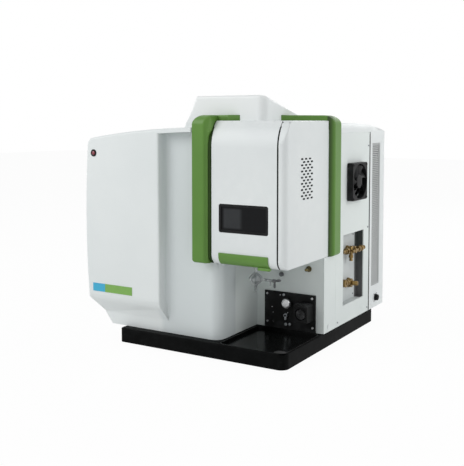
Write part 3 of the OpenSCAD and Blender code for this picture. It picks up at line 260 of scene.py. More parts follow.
WHITE = (226, 231, 231)
FINISHES = {
    "white_plastic": moulding("white_moulding", WHITE, (221, 226, 227), 0.42, pale=(238, 241, 241)),
    "white_sheet": moulding("white_powder_coat", (224, 231, 229), (218, 225, 224), 0.5, 420, 70),
    "black_base": moulding("black_lacquer", (12, 13, 13), (8, 9, 9), 0.5, 650, 30, 0.4,
        (44, 46, 47), Specular_IOR_Level=0.03),
    "black_tray": moulding("tray_lacquer", (13, 14, 14), (9, 10, 10), 0.2, 650, 20, 0.4,
        (44, 46, 47), Specular_IOR_Level=0.1),
    "foot_rubber": moulding("foot_rubber", (28, 28, 28), (20, 20, 21), 0.75, 500, 120, 0.3, (60, 60, 60)),
    "frame_steel": metal("zinc_steel", (176, 180, 182), (140, 146, 150), 0.42, (1, 1, 0.1)),
    "louvre_grey": moulding("louvre_coat", (178, 181, 181), (168, 172, 172), 0.48, 500, 60),
    # The third green is the painted shade of the corner beside the hood
    "green_trim": green_finish("green_moulding", (96, 140, 60), (88, 130, 54), (44, 66, 26)),
    # The hump takes a brighter white, painted light for the stronger light on its high faces
    "hump_white": moulding("hump_moulding", (238, 241, 241), (232, 236, 236), 0.42),
    # The pane carries painted light in its left half
    "dark_glass": pane_finish("dark_pane"),
    "strip_blue": moulding("strip_blue", (58, 178, 214), (50, 164, 203), 0.3, 500, 20),
    "strip_green": moulding("strip_green", (128, 177, 84), (116, 166, 75), 0.3, 500, 20),
    "black_plastic": moulding("black_moulding", (24, 24, 25), (17, 18, 18), 0.46, 600, 60, 0.6,
        (60, 61, 62), Specular_IOR_Level=0.12),
    "button_red": moulding("red_lens", (132, 24, 44), (104, 14, 32), 0.18, 300, 10, 0.4,
        (190, 92, 110), Coat_Weight=0.6),
    "clear_quartz": glass("clear_quartz", (236, 242, 244), 0.04, 0.92),
    "grey_glass": glass("grey_glass", (128, 134, 136), 0.14, 0.35),
    "ceramic_white": moulding("ceramic", (232, 230, 222), (222, 219, 208), 0.6, 300, 100, 0.1),
    "copper": metal("copper_plate", (196, 128, 92), (150, 92, 66), 0.3, (1, 0.1, 1)),
    "cast_aluminium": moulding("cast_coat", (92, 95, 98), (80, 83, 86), 0.55, 350, 150, 0.5, (150, 152, 154)),
    "sheet_aluminium": metal("sheet_aluminium", (198, 201, 203), (168, 172, 175), 0.36, (0.08, 1, 1)),
    "optic_mirror": metal("mirror_coat", (226, 230, 234), (205, 210, 216), 0.06, (1, 1, 1), 20, 2),
    "circuit_board": board_finish("circuit_board"),
    "bright_steel": metal("turned_steel", (212, 213, 214), (172, 174, 176), 0.24, (1, 0.06, 1), 240),
    "roller_white": moulding("roller_nylon", (206, 206, 200), (190, 190, 184), 0.5, 400, 60),
    "brass_plain": metal("tarnished_brass", (166, 138, 84), (92, 76, 50), 0.34, (1, 1, 0.5), 120, 50, 0.75),
    # The recess liner carries painted shade at its rear end
    "recess_sheet": recess_painted_shade_finish("recess_sheet"),
    # The second white is the painted shade of the groove and the column
    "front_white": front_painted_shade_finish("front_moulding", WHITE, (208, 215, 216)),
    "olive_brass": metal("olive_brass", (132, 122, 86), (74, 70, 52), 0.4, (1, 1, 0.5), 120, 50, 0.8),
    "rotor_dark": moulding("rotor_dark", (38, 38, 39), (28, 28, 29), 0.4, 400, 60, 0.6,
        (82, 83, 84), Specular_IOR_Level=0.15),
    # Dark of the seams, and painted shade on the sheets behind the vents and the louvre and on the vent rims
    "seam_dark": moulding("seam_rubber", (30, 32, 33), (22, 23, 24), 0.7, 400, 80, 0.1, Specular_IOR_Level=0.1),
    "gap_green": moulding("gap_shade", (50, 72, 34), (42, 62, 28), 0.7, 400, 80, 0.1, Specular_IOR_Level=0.1),
}


# Meshes
def placed(name, data):
    """A new object of the scene."""
    made = bpy.data.objects.new(name, data)
    bpy.context.scene.collection.objects.link(made)
    return made


def mesh_of(bm):
    """A mesh of a form that is done with."""
    mesh = bpy.data.meshes.new("form")
    bm.to_mesh(mesh)
    bm.free()
    return mesh


def shaded(mesh):
    mesh.shade_smooth()
    mesh.set_sharp_from_angle(angle=CREASE)


def lie(direction, origin, roll=0.0):
    """A place whose Z runs along a direction from an origin."""
    turn = Z.rotation_difference(Vector(direction)).to_matrix().to_4x4()
    return Matrix.Translation(Vector(origin)) @ turn @ Matrix.Rotation(roll, 4, "Z")


def circle(radius, steps):
    turns = [2 * pi * k / steps for k in range(steps)]
    return [(radius * cos(a), radius * sin(a)) for a in turns]


def joined(bm, one, two):
    """Faces between two rings of as many points."""
    for k in range(len(one)):
        bm.faces.new((one[k - 1], one[k], two[k], two[k - 1]))


def turned(bm, profile, direction, origin, steps):
    """Turns (along, radius) points about a direction, closed at both ends."""
    place = lie(direction, origin)
    rings = [[bm.verts.new(place @ Vector((u, v, along))) for u, v in circle(radius, steps if radius else 1)]
        for along, radius in profile]
    for low, high in zip(rings, rings[1:]):
        for k in range(steps):
            loop = low[k % len(low)], low[(k + 1) % len(low)], high[(k + 1) % len(high)], high[k % len(high)]
            # A point on the axis is a corner only once
            bm.faces.new(dict.fromkeys(loop))
    for end in (rings[0][::-1], rings[-1]):
        if len(end) > 2:
            bm.faces.new(end)


def drawn(stroke, *values):
    """A new form with one stroke of a drawing function."""
    bm = bmesh.new()
    stroke(bm, *values)
    return bm


def chamfered(radius, start, end, cut):
    """Profile of a disc with cut edges."""
    return [(start, radius - cut), (start + cut, radius), (end - cut, radius), (end, radius - cut)]


def plate(bm, outline, direction, origin, start, end, hole=None, roll=0.0):
    """Raises a flat outline, with a hole of as many points, from start to end along a direction."""
    place = lie(direction, origin, roll)
    loops = [outline, hole] if hole else [outline]
    layers = [[[bm.verts.new(place @ Vector((u, v, w))) for u, v in loop] for loop in loops] for w in (start, end)]
    for low, high in zip(*layers):
        joined(bm, low, high)
    for layer in layers:
        if hole:
            joined(bm, *layer)
        else:
            bm.faces.new(layer[0])


def rounded(width, height, radius, steps=6):
    """Outline of a rectangle with rounded corners."""
    points = []
    for quarter in range(4):
        cu = (width / 2 - radius) * (1, -1, -1, 1)[quarter]
        cv = (height / 2 - radius) * (1, 1, -1, -1)[quarter]
        for k in range(steps + 1):
            angle = pi / 2 * (quarter + k / steps)
            points.append((cu + radius * cos(angle), cv + radius * sin(angle)))
    return points


def block(bm, low, high):
    """A box between two corners, to be rounded when it is finished."""
    corners = [bm.verts.new([(low, high)[i][a] for a, i in enumerate(pick)])
        for pick in ((0, 0, 0), (1, 0, 0), (1, 1, 0), (0, 1, 0), (0, 0, 1), (1, 0, 1), (1, 1, 1), (0, 1, 1))]
    for face in ((3, 2, 1, 0), (4, 5, 6, 7), (0, 1, 5, 4), (1, 2, 6, 5), (2, 3, 7, 6), (3, 0, 4, 7)):
        bm.faces.new([corners[i] for i in face])


def tube(bm, path, radii, steps=14):
    """A round tube through points, closed at both ends."""
    rings = []
    for k, (point, radius) in enumerate(zip(path, radii)):
        ahead = Vector(path[min(k + 1, len(path) - 1)]) - Vector(path[max(k - 1, 0)])
        place = lie(ahead.normalized(), point)
        rings.append([bm.verts.new(place @ Vector((u, v, 0))) for u, v in circle(radius, steps)])
    for low, high in zip(rings, rings[1:]):
        start = min(range(steps), key=lambda s: (low[0].co - high[s].co).length)
        for i in range(steps):
            a, b = (start + i) % steps, (start + i + 1) % steps
            bm.faces.new((low[i], low[(i + 1) % steps], high[b], high[a]))
    bm.faces.new(rings[0][::-1])
    bm.faces.new(rings[-1])


def room_beside(edge):
    """How far the two faces of an edge reach from its middle."""
    reach = []
    for loop in edge.link_loops:
        start, end = loop.vert.co, loop.link_loop_next.vert.co
        line = (end - start).normalized()
        inward = loop.face.normal.cross(line)
        middle = (start + end) / 2
        nearest = 1000.0
        for other in loop.face.loops:
            if other.edge == edge:
                continue
            p, q = other.vert.co - middle, other.link_loop_next.vert.co - middle
            u, v = p.dot(line), q.dot(line)
            if u * v <= 0 and u != v:
                across = p.lerp(q, u / (u - v)).dot(inward)
                if across > 1e-3:
                    nearest = min(nearest, across)
        reach.append(nearest)
    return min(reach)


def evaluated(mesh, add):
    """A plain mesh of another one after the modifiers that add() gives it."""
    holder = placed("holder", mesh)
    add(holder)
    bpy.context.view_layer.update()
    done = bpy.data.meshes.new_from_object(holder.evaluated_get(bpy.context.evaluated_depsgraph_get()))
    bpy.data.objects.remove(holder)
    bpy.data.meshes.remove(mesh)
    return done


def weighed(holder):
    holder.modifiers.new("weigh", "WEIGHTED_NORMAL").keep_sharp = True


def softened(bm, width, segments):
    """A mesh of bm, in metres, whose outer edges are rounded by up to a width where the faces give room."""
    weights = bm.edges.layers.float.new("bevel_weight_edge")
    for edge in bm.edges:
        if width and len(edge.link_faces) == 2 and edge.calc_face_angle_signed(0) > SHARP:
            room = room_beside(edge)
            edge[weights] = min(1, SHARES[room > WIDE] * room / width)
    bmesh.ops.scale(bm, vec=(MM, MM, MM), verts=bm.verts)
    mesh = mesh_of(bm)

    def rounding(holder):
        if width:
            bevel = holder.modifiers.new("round", "BEVEL")
            bevel.limit_method = "WEIGHT"
            bevel.width = width * MM
            bevel.segments = segments
            bevel.use_clamp_overlap = False
        shaded(mesh)
        weighed(holder)

    return evaluated(mesh, rounding)


def settle(name, mesh, body, slot, finish, stands_for):
    """Puts a finished mesh on its body with its finish."""
    mesh.name = name
    mesh.materials.clear()
    mesh.materials.append(FINISHES[finish or slot])
    made = placed(name, mesh)
    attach(made, body)
    if stands_for:
        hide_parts(stands_for)


def piece(name, bm, slot, body="cabinet", stands_for=None, width=0.0, segments=2, finish=None):
    """Finishes a form that was drawn in millimetres."""
    bmesh.ops.recalc_face_normals(bm, faces=bm.faces)
    settle(name, softened(bm, width, segments), body, slot, finish, stands_for)


def solid_of(node):
    """A mesh to work on, in millimetres, of a part's solid."""
    bm = bmesh.new()
    bm.from_mesh(nodes[node].data)
    bmesh.ops.scale(bm, vec=(1 / MM, 1 / MM, 1 / MM), verts=bm.verts)
    bmesh.ops.remove_doubles(bm, verts=bm.verts, dist=WELD)
    bmesh.ops.dissolve_limit(bm, angle_limit=FLAT, verts=bm.verts, edges=bm.edges)
    bm.normal_update()
    return bm


def redress(node, mesh, finish):
    """Puts a worked mesh in place of a part's plain solid."""
    settle(node + "_dressed", mesh, body_of[node], slot_of[node], finish, node)


def dressed(node, width, finish=None, shift=None):
    """A part with all its edges rounded, in place of the plain solid."""
    bm = solid_of(node)
    if shift:
        for v in bm.verts:
            shift(v.co)
    redress(node, softened(bm, width, 3), finish)


def edge_runs(bm, width_at):
    """Runs of outer edges that turn gently, as lists of loops, of the edges whose two ends have a width."""
    left = {e for e in bm.edges if len(e.link_faces) == 2 and e.calc_face_angle_signed(0) > SHARP
            and all(width_at(v.co, (e.verts[1].co - e.verts[0].co).normalized()) for v in e.verts)}

    def onward(loop):
        """The picked edge that follows, as a loop of the face on the same side."""
        at, best = loop.link_loop_next.vert, None
        ahead = at.co - loop.vert.co
        for edge in at.link_edges:
            turn = ahead.angle(edge.other_vert(at).co - at.co, 4)
            if edge in left and turn < (best[0] if best else BEND):
                best = (turn, edge)
        return next(lp for lp in best[1].link_loops if lp.vert == at) if best else None

    runs = []
    for start in sorted(left, key=lambda e: e.index):
        if start not in left:
            continue
        left.discard(start)
        halves = []
        for loop in start.link_loops:
            half = [loop]
            while (loop := onward(half[-1])):
                left.discard(loop.edge)
                half.append(loop)
            halves.append(half)
        back = [next(lp for lp in loop.edge.link_loops if lp != loop) for loop in reversed(halves[1][1:])]
        runs.append(back + halves[0])
    return runs


def cutter(run, width_at, segments):
    """What a rounding takes off along a run of edges, as a closed mesh in metres."""
    spots = [run[0].vert] + [loop.link_loop_next.vert for loop in run]
    closed = spots[0] == spots[-1] and len(run) > 3
    rings = []
    for k, vert in enumerate(spots[:-1] if closed else spots):
        near = [run[j] for j in ((k - 1, k) if closed or 0 < k < len(run) else (min(k, len(run) - 1),))]
        one = sum((lp.face.normal for lp in near), Vector()).normalized()
        two = sum((next(o for o in lp.edge.link_loops if o != lp).face.normal for lp in near), Vector()).normalized()
        ahead = sum(((lp.link_loop_next.vert.co - lp.vert.co).normalized() for lp in near), Vector()).normalized()
        width, half = width_at(vert.co, ahead), one.angle(two) / 2
        at = vert.co + ahead * (0 if closed or 0 < k < len(run) else END_PLAY if k else -END_PLAY)
        radius = width / tan(half)
        centre = at + width * one.cross(ahead).normalized() - radius * one
        ring = [centre + radius * one.slerp(two, j / segments) for j in range(segments + 1)]
        ring += [ring[-1] + two, at + (one + two) / (1 + one.dot(two)), ring[0] + one]
        rings.append([p * MM for p in ring])
    bm = bmesh.new()
    made = [[bm.verts.new(p) for p in ring] for ring in rings]
    count = len(made[0])
    for first, second in zip(made, made[1:] + (made[:1] if closed else [])):
        for j in range(count):
            bm.faces.new((first[j], first[(j + 1) % count], second[(j + 1) % count], second[j]))
    if not closed:
        bm.faces.new(made[0][::-1])
        bm.faces.new(made[-1])
    bmesh.ops.triangulate(bm, faces=bm.faces)
    if bm.calc_volume(signed=True) < 0:
        bmesh.ops.reverse_faces(bm, faces=bm.faces)
    return mesh_of(bm)


def carved(node, width_at, segments=4, cuts=0, finish=None):
    """A part with the edges rounded where a width is given, in place of the plain solid."""
    bm = solid_of(node)
    if cuts:
        long = [e for e in bm.edges if e.calc_length() > LONG_EDGE and any(width_at(v.co, X) for v in e.verts)]
        bmesh.ops.subdivide_edges(bm, edges=long, cuts=cuts)
    bm.edges.index_update()
    tools = [placed("cutter", cutter(run, width_at, segments)) for run in edge_runs(bm, width_at)]
    bmesh.ops.scale(bm, vec=(MM, MM, MM), verts=bm.verts)
    mesh = mesh_of(bm)

    def carving(holder):
        for tool in tools:
            cut = holder.modifiers.new("cut", "BOOLEAN")
            cut.operation, cut.solver, cut.object = "DIFFERENCE", "MANIFOLD", tool

    mesh = evaluated(mesh, carving)
    for tool in tools:
        form = tool.data
        bpy.data.objects.remove(tool)
        bpy.data.meshes.remove(form)
    bm = bmesh.new()
    bm.from_mesh(mesh)
    bmesh.ops.remove_doubles(bm, verts=bm.verts, dist=2e-5)
    bmesh.ops.dissolve_degenerate(bm, dist=1e-5, edges=bm.edges)
    bm.to_mesh(mesh)
    bm.free()
    shaded(mesh)
    redress(node, evaluated(mesh, weighed), finish)


# Geometry node trees
class Tree(Graph):
    """A geometry tree with named inputs that ends in plain faces of one finish."""
    family = "GeometryNode"

    def __init__(self, name, inputs):
        super().__init__(bpy.data.node_groups.new(name, "GeometryNodeTree"))
        self.tree.interface.new_socket("Geometry", in_out="OUTPUT", socket_type="NodeSocketGeometry")
        for label, kind in {"Geometry": "Geometry", "Finish": "Material", **inputs}.items():
            self.tree.interface.new_socket(label, in_out="INPUT", socket_type="NodeSocket" + kind)
        self.start = self.tree.nodes.new("NodeGroupInput")

    def given(self, label):
        return Socket(self, self.start.outputs[label])

    def form(self):
        return self.node("ObjectInfo", {"Object": self.given("Form")}, out="Geometry")

    def spread(self, form, points, **turn):
        """Ends the tree with a form on all points."""
        forms = self.node("InstanceOnPoints", {"Points": points, "Instance": form, **turn})
        real = self.node("RealizeInstances", {0: forms})
        painted = self.node("SetMaterial", {"Geometry": real, "Material": self.given("Finish")})
        last = self.tree.nodes.new("NodeGroupOutput")
        self.tree.links.new(painted.link, last.inputs[0])


def grown(name, tree, values, slot, body="cabinet", points=None, stands_for=None, finish=None):
    """A plain mesh of what a tree makes of its points and values."""
    base = bpy.data.meshes.new("points")
    if points:
        base.from_pydata([Vector(p) * MM for p, _ in points], [], [])
        facing = base.attributes.new("facing", "FLOAT_VECTOR", "POINT")
        for k, (_, direction) in enumerate(points):
            facing.data[k].vector = direction

    def tree_on(holder):
        grow = holder.modifiers.new("grow", "NODES")
        grow.node_group = tree.tree
        names = {item.name: item.identifier for item in tree.tree.interface.items_tree if item.in_out == "INPUT"}
        for label, value in {"Finish": FINISHES[finish or slot], **values}.items():
            grow[names[label]] = value

    mesh = evaluated(base, tree_on)
    shaded(mesh)
    settle(name, mesh, body, slot, finish, stands_for)


def pattern(bm, width=0.0):
    """A form that a tree repeats."""
    bmesh.ops.recalc_face_normals(bm, faces=bm.faces)
    return placed("pattern", softened(bm, width, 2))


def screw_tree():
    """Socket screw heads on points, each facing its own way."""
    t = Tree("screw_heads", {"Radius": "Float", "Height": "Float", "Socket": "Float"})
    radius, height = t.given("Radius"), t.given("Height")
    head = t.node("MeshCylinder", {"Vertices": 18, "Radius": radius, "Depth": height * 2}, "Mesh")
    upright = t.node("ShaderNodeSeparateXYZ", {0: t.node("InputNormal")}, "Z")
    top = t.node("FunctionNodeCompare", {0: upright, 1: 0.5}, data_type="FLOAT", operation="GREATER_THAN")

    def raise_top(geometry, selection, amount, share):
        out = t.node("ExtrudeMesh",
            {"Mesh": geometry, "Selection": selection, "Offset Scale": amount, "Individual": False})
        chosen = Socket(t, out.link.node.outputs["Top"])
        scaled = t.node("ScaleElements", {"Geometry": out, "Selection": chosen, "Scale": share})
        return scaled, chosen

    form, face = raise_top(head, top, height * 0.35, 0.86)
    form, face = raise_top(form, face, 0.0, t.given("Socket"))
    form, face = raise_top(form, face, height * -0.9, 0.94)
    facing = t.node("InputNamedAttribute", {"Name": "facing"}, data_type="FLOAT_VECTOR")
    turn = t.node("FunctionNodeAlignRotationToVector", {"Vector": facing}, axis="Z")
    t.spread(form, t.given("Geometry"), Rotation=turn)
    return t


def row_tree():
    """One form repeated along a line."""
    t = Tree("row_of_forms", {"Form": "Object", "Count": "Int", "Step": "Vector"})
    line = t.node("MeshLine", {"Count": t.given("Count"), "Offset": t.given("Step")}, mode="OFFSET")
    t.spread(t.form(), line)
    return t


def ring_tree():
    """One form repeated about an axis through a centre."""
    t = Tree("ring_of_forms", {"Form": "Object", "Count": "Int", "Axis": "Vector", "Centre": "Vector"})
    spots = t.node("Points", {"Count": t.given("Count"), "Position": t.given("Centre")})
    angle = t.node("InputIndex") * (2 * pi) / t.given("Count")
    turn = t.node("FunctionNodeAxisAngleToRotation", {"Axis": t.given("Axis"), "Angle": angle})
    t.spread(t.form(), spots, Rotation=turn)
    return t


def spot_tree():
    """One form repeated on points."""
    t = Tree("forms_on_points", {"Form": "Object"})
    t.spread(t.form(), t.given("Geometry"))
    return t


screw_heads, row_of_forms, ring_of_forms, forms_on_points = screw_tree(), row_tree(), ring_tree(), spot_tree()


def screws(name, points, radius, height, slot="bright_steel"):
    values = {"Radius": radius * MM, "Height": height * MM, "Socket": 0.55}
    grown(name, screw_heads, values, slot, points=points)


def repeated(name, tree, form, values, slot, body="cabinet", points=None, stands_for=None, finish=None):
    """A plain mesh of a form that a tree repeats. The form itself is dropped."""
    grown(name, tree, {"Form": form, **values}, slot, body, points, stands_for, finish)
    bpy.data.objects.remove(form)


def ring(name, form, count, axis, centre, slot, body="cabinet", finish=None):
    values = {"Count": count, "Axis": axis, "Centre": Vector(centre) * MM}
    repeated(name, ring_of_forms, form, values, slot, body, finish=finish)


# Camera of the photograph
AZIMUTH, PITCH = radians(31.235), radians(3.699)
PHOTO_HEIGHT = 466
view = bpy.data.cameras.new("photo_view")
view.lens = 60.73
view.sensor_width = 36
view.shift_x = -0.0027
view.shift_y = -60 / PHOTO_HEIGHT
camera = placed("photo_view", view)
camera.location = (1.3043, -2.2288, 0.6766)
ahead = Vector((-sin(AZIMUTH) * cos(PITCH), cos(AZIMUTH) * cos(PITCH), -sin(PITCH)))
camera.rotation_euler = ahead.to_track_quat("-Z", "Y").to_euler()
bpy.context.scene.camera = camera


# Covers
# Side view of the door and of the hood strip beside it, as (y, z) from the foot upwards
DOOR_LINE = [(-351, 275), (-356.4, 278.7), (-360.8, 283.5), (-364.2, 289.2), (-366.3, 295.4), (-367, 301.9),
    (-367, 606), (-366.3, 617.9), (-364.3, 629.7), (-360.9, 641.2), (-356.2, 652.2), (-350.2, 662.6), (-343.1, 672.2),
    (-336.5, 679.5)]
# Where the right side panel ends, and how far it stops short of the rear cover
SEAM_Y, SEAM_GAP = 241, 8


def on_door_line(p):
    """Whether a point lies on the outer face of the door or the strip."""
    for (y0, z0), (y1, z1) in zip(DOOR_LINE, DOOR_LINE[1:]):
        if z0 <= p.z <= z1:
            return abs(y0 + (y1 - y0) * (p.z - z0) / (z1 - z0) - p.y) < 0.7
    return False


def front_width(p, way):
    """Wide roundings round the left panel, narrow ones beside the column."""
    if (p - Vector((BUTTON.x, PANEL_Y, BUTTON.z))).length < 12:
        return 0
    if p.y < PANEL_Y + NEAR:
        if abs(way.x) > 0.9 and p.z < 136:
            return 17.0
        if p.x > -77.5:
            return 2.0 if abs(way.z) < 0.5 else 6.0
        return 8.0
    return 5.0 if p.x < -270 and 60 < p.z < 135 and p.y < -335 else 0


def rear_width(p, _):
    return 5.0 if p.y > REAR_Y - NEAR and p.z > 560 else 0


def hump_width(p, _):
    """Broad soft edges that run out towards the roof."""
    if (p.xy - Vector((165, -164))).length < 52:
        return 0
    start = 699 if p.x > 8 else 672
    return 11 * min(max((p.z - start) / 40, 0), 1)


def hood_width(p, _):
    """Right-hand edges of the hood and the edge at the split line."""
    if p.x > SIDE_X - NEAR and (p.z > HOOD_TOP - NEAR or p.z < HOOD_FOOT + NEAR or p.y > HOOD_REAR - NEAR):
        return 4.0
    if p.x > 329 and p.z > 612 and on_door_line(p):
        return 3.5
    return 2.5 if abs(p.x - SPLIT_X) < NEAR and on_door_line(p) and HOOD_FOOT + 1 < p.z < 668 else 0


def hoop_width(p, _):
    """Edges of the hoop's outer face, with its upper bends and its rounded feet."""
    outside = p.y < HOOP.y + NEAR or p.x > HOOP.x - NEAR or p.z > HOOP.z - NEAR
    for radius, rise in ((28, p.z - HOOP.z + 28), (9.33, HOOD_FOOT + 9.33 - p.z)):
        for depth in (p.y - HOOP.y, HOOP.x - p.x):
            outside |= rise > 0 and abs(hypot(depth - radius, rise) - radius) < 0.4
    return 4.0 if outside else 0


def door_width(p, _):
    at_side = min(abs(p.x - x) for x in DOOR_SIDES) < NEAR
    return (2.0 if p.x > 300 else 3.5) if at_side and on_door_line(p) and HOOD_FOOT + 1 < p.z < 664 else 0


def fan_width(p, _):
    return 1.6 if (p.yz - FAN.yz).length > 52 and p.x > SIDE_X + 1 else 0


def side_gap(co):
    """The right side panel stops short of the rear cover."""
    if co.y > SEAM_Y - 0.1:
        co.y -= SEAM_GAP


carved("front_cover", front_width, finish="front_white")
carved("rear_cover", rear_width)
carved("exhaust_hump", hump_width, 6, cuts=9, finish="hump_white")
carved("hood_shell", hood_width)
carved("door_panel", door_width)
carved("trim_hoop", hoop_width)
carved("fan_frame", fan_width)
dressed("right_side_panel", 3, shift=side_gap)
dressed("service_recess", 0.8, finish="recess_sheet")
for name, width in (("left_side_panel", 1), ("top_cover", 1), ("corner_panel", 3), ("bay_left_panel", 1),
        ("bay_back_panel", 1), ("hood_floor", 1), ("base_plinth", 3), ("drip_tray", 2), ("door_handle", 2),
        ("badge_blue", 0.5), ("badge_green", 0.5), ("power_bezel", 0.6), ("exhaust_duct", 0.8), ("pump_plate", 1)):
    dressed(name, width)

# Dark joints at the split line and beside the right side panel; a dark green strip in the gap between the hoop and the
# door, painted shade of the narrow gap there; and a dark sheet behind the vents, painted shade of the space behind them
JOINT_DEPTH = 9
for name, start, end, sunk, finish in (("door_gap", 93.3, 100.7, -2.5, "gap_green"),
        ("split_gap", 312.3, 317.5, 0.12, "seam_dark")):
    front = [(-z, y + sunk) for y, z in DOOR_LINE]
    outline = front + [(u, v + JOINT_DEPTH) for u, v in reversed(front)]
    piece(name, drawn(plate, outline, X, ORIGIN, start, end), "black_plastic", finish=finish)
for name, low, high in (
        ("side_seam", (335.2, SEAM_Y - 11, 50), (339.3, SEAM_Y + 1.5, 637)),
        ("vent_filter", (332, -284, 455), (339.2, -195, 583))):
    piece(name, drawn(block, low, high), "black_plastic", width=0.4, finish="seam_dark")

# White sill under the front edge of the hood's roof, as (y, z)
SILL = [(-343.4, 671.4), (-341, 674.2), (-338.7, 676.9), (-335, 677.2), (-335, 672), (-340, 669)]
piece("strip_sill", drawn(plate, [(-z, y) for y, z in SILL], X, ORIGIN, 316.6, 335.5), "white_plastic")

# Green gusset in the inner corner between the hoop's left leg and its rail, as (x, z)
GUSSET = [(91.5, 596), (93, 596), (93.4, 615), (94.2, 632), (95.6, 643), (97, 649), (98.8, 653.6), (91.5, 653.6)]
piece("hoop_gusset", drawn(plate, GUSSET, -Y, ORIGIN, 346, 371.2), "green_trim", width=1)

# Dark rims in the mouths of the vents, painted shade on the hole walls, in rows that are set off by half a step
VENT_Y, VENT_Z, VENT_STEP, VENT_PITCH = -270.5, 574.5, 24.8, 8.6
VENTS = [((SIDE_X, VENT_Y + (col + row % 2 / 2) * VENT_STEP, VENT_Z - row * VENT_PITCH), X)
    for row in range(14) for col in range(3)]
vent_shade_rim = pattern(drawn(plate, rounded(4.9, 13.9, 2.4), X, ORIGIN, -0.2, 0.3, rounded(3.8, 12.8, 1.85)))
repeated("vent_eyelets", forms_on_points, vent_shade_rim, {}, "black_plastic", points=VENTS, finish="seam_dark")


# Soft inner corners of the step beside the column
def fillet(bm, line, one, two, steps=6):
    """Fills an inner corner along a line of (point, reach) between two faces with a hollow."""
    turn = one.angle(two) / 2
    rings = []
    for spot, reach in line:
        spot, radius = Vector(spot), reach * tan(turn)
        centre = spot + (one + two).normalized() * (reach / cos(turn))
        from_one, from_two = (spot + one * reach - centre).normalized(), (spot + two * reach - centre).normalized()
        arc = [centre + radius * from_one.slerp(from_two, k / steps) for k in range(steps + 1)]
        rings.append([bm.verts.new(p) for p in [spot - (one + two) * 0.3] + arc])
    for first, second in zip(rings, rings[1:]):
        joined(bm, first, second)
    bm.faces.new(rings[0])
    bm.faces.new(rings[-1][::-1])


slope = Vector((-10, -36, 0)).normalized()
step = drawn(fillet, [((-67, -341, 96), 3), ((-67, -341, 150), 13), ((-67, -341, 644), 13)], slope, X)
fillet(step, [((-68, -341, 643.6), 10), ((41, -341, 647.7), 10)], -Z, -Y)
piece("step_fillets", step, "white_plastic", finish="front_white")


# Door: pane in its rubber frame, and the tab under the handle
def window_outline(grow):
    return rounded(159 + 2 * grow, 81 + 2 * grow, max(6 + grow, 2))


WINDOW = Vector((206.5, -362, 407.5))
rubber = drawn(plate, window_outline(-0.3), -Y, WINDOW, 0, 4.4, window_outline(-8))
piece("window_frame", rubber, "black_plastic", "torch_door", width=1)
pane = drawn(plate, window_outline(-7.5), -Y, WINDOW, 0, 2.6)
plate(pane, window_outline(5.5), -Y, WINDOW, -1.8, 0)
piece("window_pane", pane, "dark_glass", "torch_door", "door_window", 0.6)
piece("handle_tab", drawn(block, (249, -361, 268.5), (287, -349, 277)), "green_trim", "torch_door", width=2.5,
    segments=3)

# Power button
lens = drawn(turned, [(0, 0), (0, 5.4), (0.4, 5.9), (10.8, 5.9), (11.4, 5.4), (11.9, 4.2), (12.2, 2.2), (12.3, 0)],
    -Y, BUTTON, 40)
piece("button_lens", lens, "button_red", "power_button", "power_button")


# Sample train under the hood: chamber, nebulizer with its side arm, tee, collar of the neck
CHAMBER = Vector((170, -230, 215))
ARM, SOCKET, TEE = CHAMBER + X * 49, CHAMBER + X * 57, CHAMBER + X * 63
chamber = drawn(turned, [(-38, 0), (-38, 3.2), (-37, 4), (-22, 4), (-20, 5), (-16, 9), (-8, 17), (-3, 20.4), (0, 21),
    (3, 20.4), (8, 17), (16, 9), (20, 5), (22, 4), (89, 4), (90, 3.2), (90, 0)], Z, CHAMBER, 40)
turned(chamber, [(8, 0), (8, 6), (21.5, 6), (23, 5.2), (23, 0)], X, CHAMBER, 24)
piece("chamber_glass", chamber, "grey_glass", stands_for="spray_chamber")
spray_tip = drawn(turned, [(15, 0), (15, 3.6), (17, 4), (24, 4), (24.5, 5), (27, 5), (27.5, 4), (46, 4), (50, 3.2),
    (57, 3.2), (57, 0)], X, CHAMBER, 24)
tube(spray_tip, [ARM - Z * drop for drop in (0, 9, 15, 16)], [3, 3, 3, 2.2])
piece("nebulizer_body", spray_tip, "grey_glass", stands_for="nebulizer")
branches = drawn(turned, chamfered(5, 0, 10, 0.8), X, SOCKET, 24)
for tilt in (80, 180):
    lean = Vector((sin(radians(tilt)), 0, cos(radians(tilt))))
    turned(branches, [(0, 0), (0, 3), (9, 3), (9.5, 3.8), (12, 3), (12.5, 3.8), (15, 3), (15.5, 3.8), (21, 2.6),
        (22, 0)], lean, TEE, 20)
piece("sample_tee", branches, "cast_aluminium", stands_for="gas_fitting")
collar = drawn(turned, [(0, 4.1), (0, 8), (1, 9), (4, 9), (5, 8), (7, 8), (8, 9), (12, 9), (13, 8), (13, 4.1)], Z,
    CHAMBER + Z * 43, 32)
piece("neck_collar", collar, "black_plastic")

# Capped port and gas bulkhead on the bay's back wall
CAP, BULKHEAD = Vector((200, BAY_Y, 214)), Vector((290, BAY_Y, 238))
cap = drawn(turned, [(0, 0), (0, 4.6), (2, 4.6), (2, 6), (2.6, 6.4), (10, 6.4), (11, 5.6), (11, 0)], -Y, CAP, 30)
piece("sample_cap", cap, "cast_aluminium")
cap_rib = pattern(drawn(block, (6.1, -0.4, 3), (6.9, 0.4, 9.6)))
cap_rib.data.transform(lie(-Y, ORIGIN))
ring("sample_cap_ribs", cap_rib, 24, -Y, CAP, "cast_aluminium")
bulkhead = drawn(turned, chamfered(9, 0, 3, 0.6), -Y, BULKHEAD, 32)
turned(bulkhead, chamfered(7.5, 3, 9, 0.8), -Y, BULKHEAD, 6)
turned(bulkhead, [(9, 4), (14, 4), (15, 5), (17, 5), (18, 4), (20, 5), (22, 4), (24, 3), (24, 0)], -Y, BULKHEAD, 24)
piece("gas_bulkhead", bulkhead, "brass_plain", finish="olive_brass")


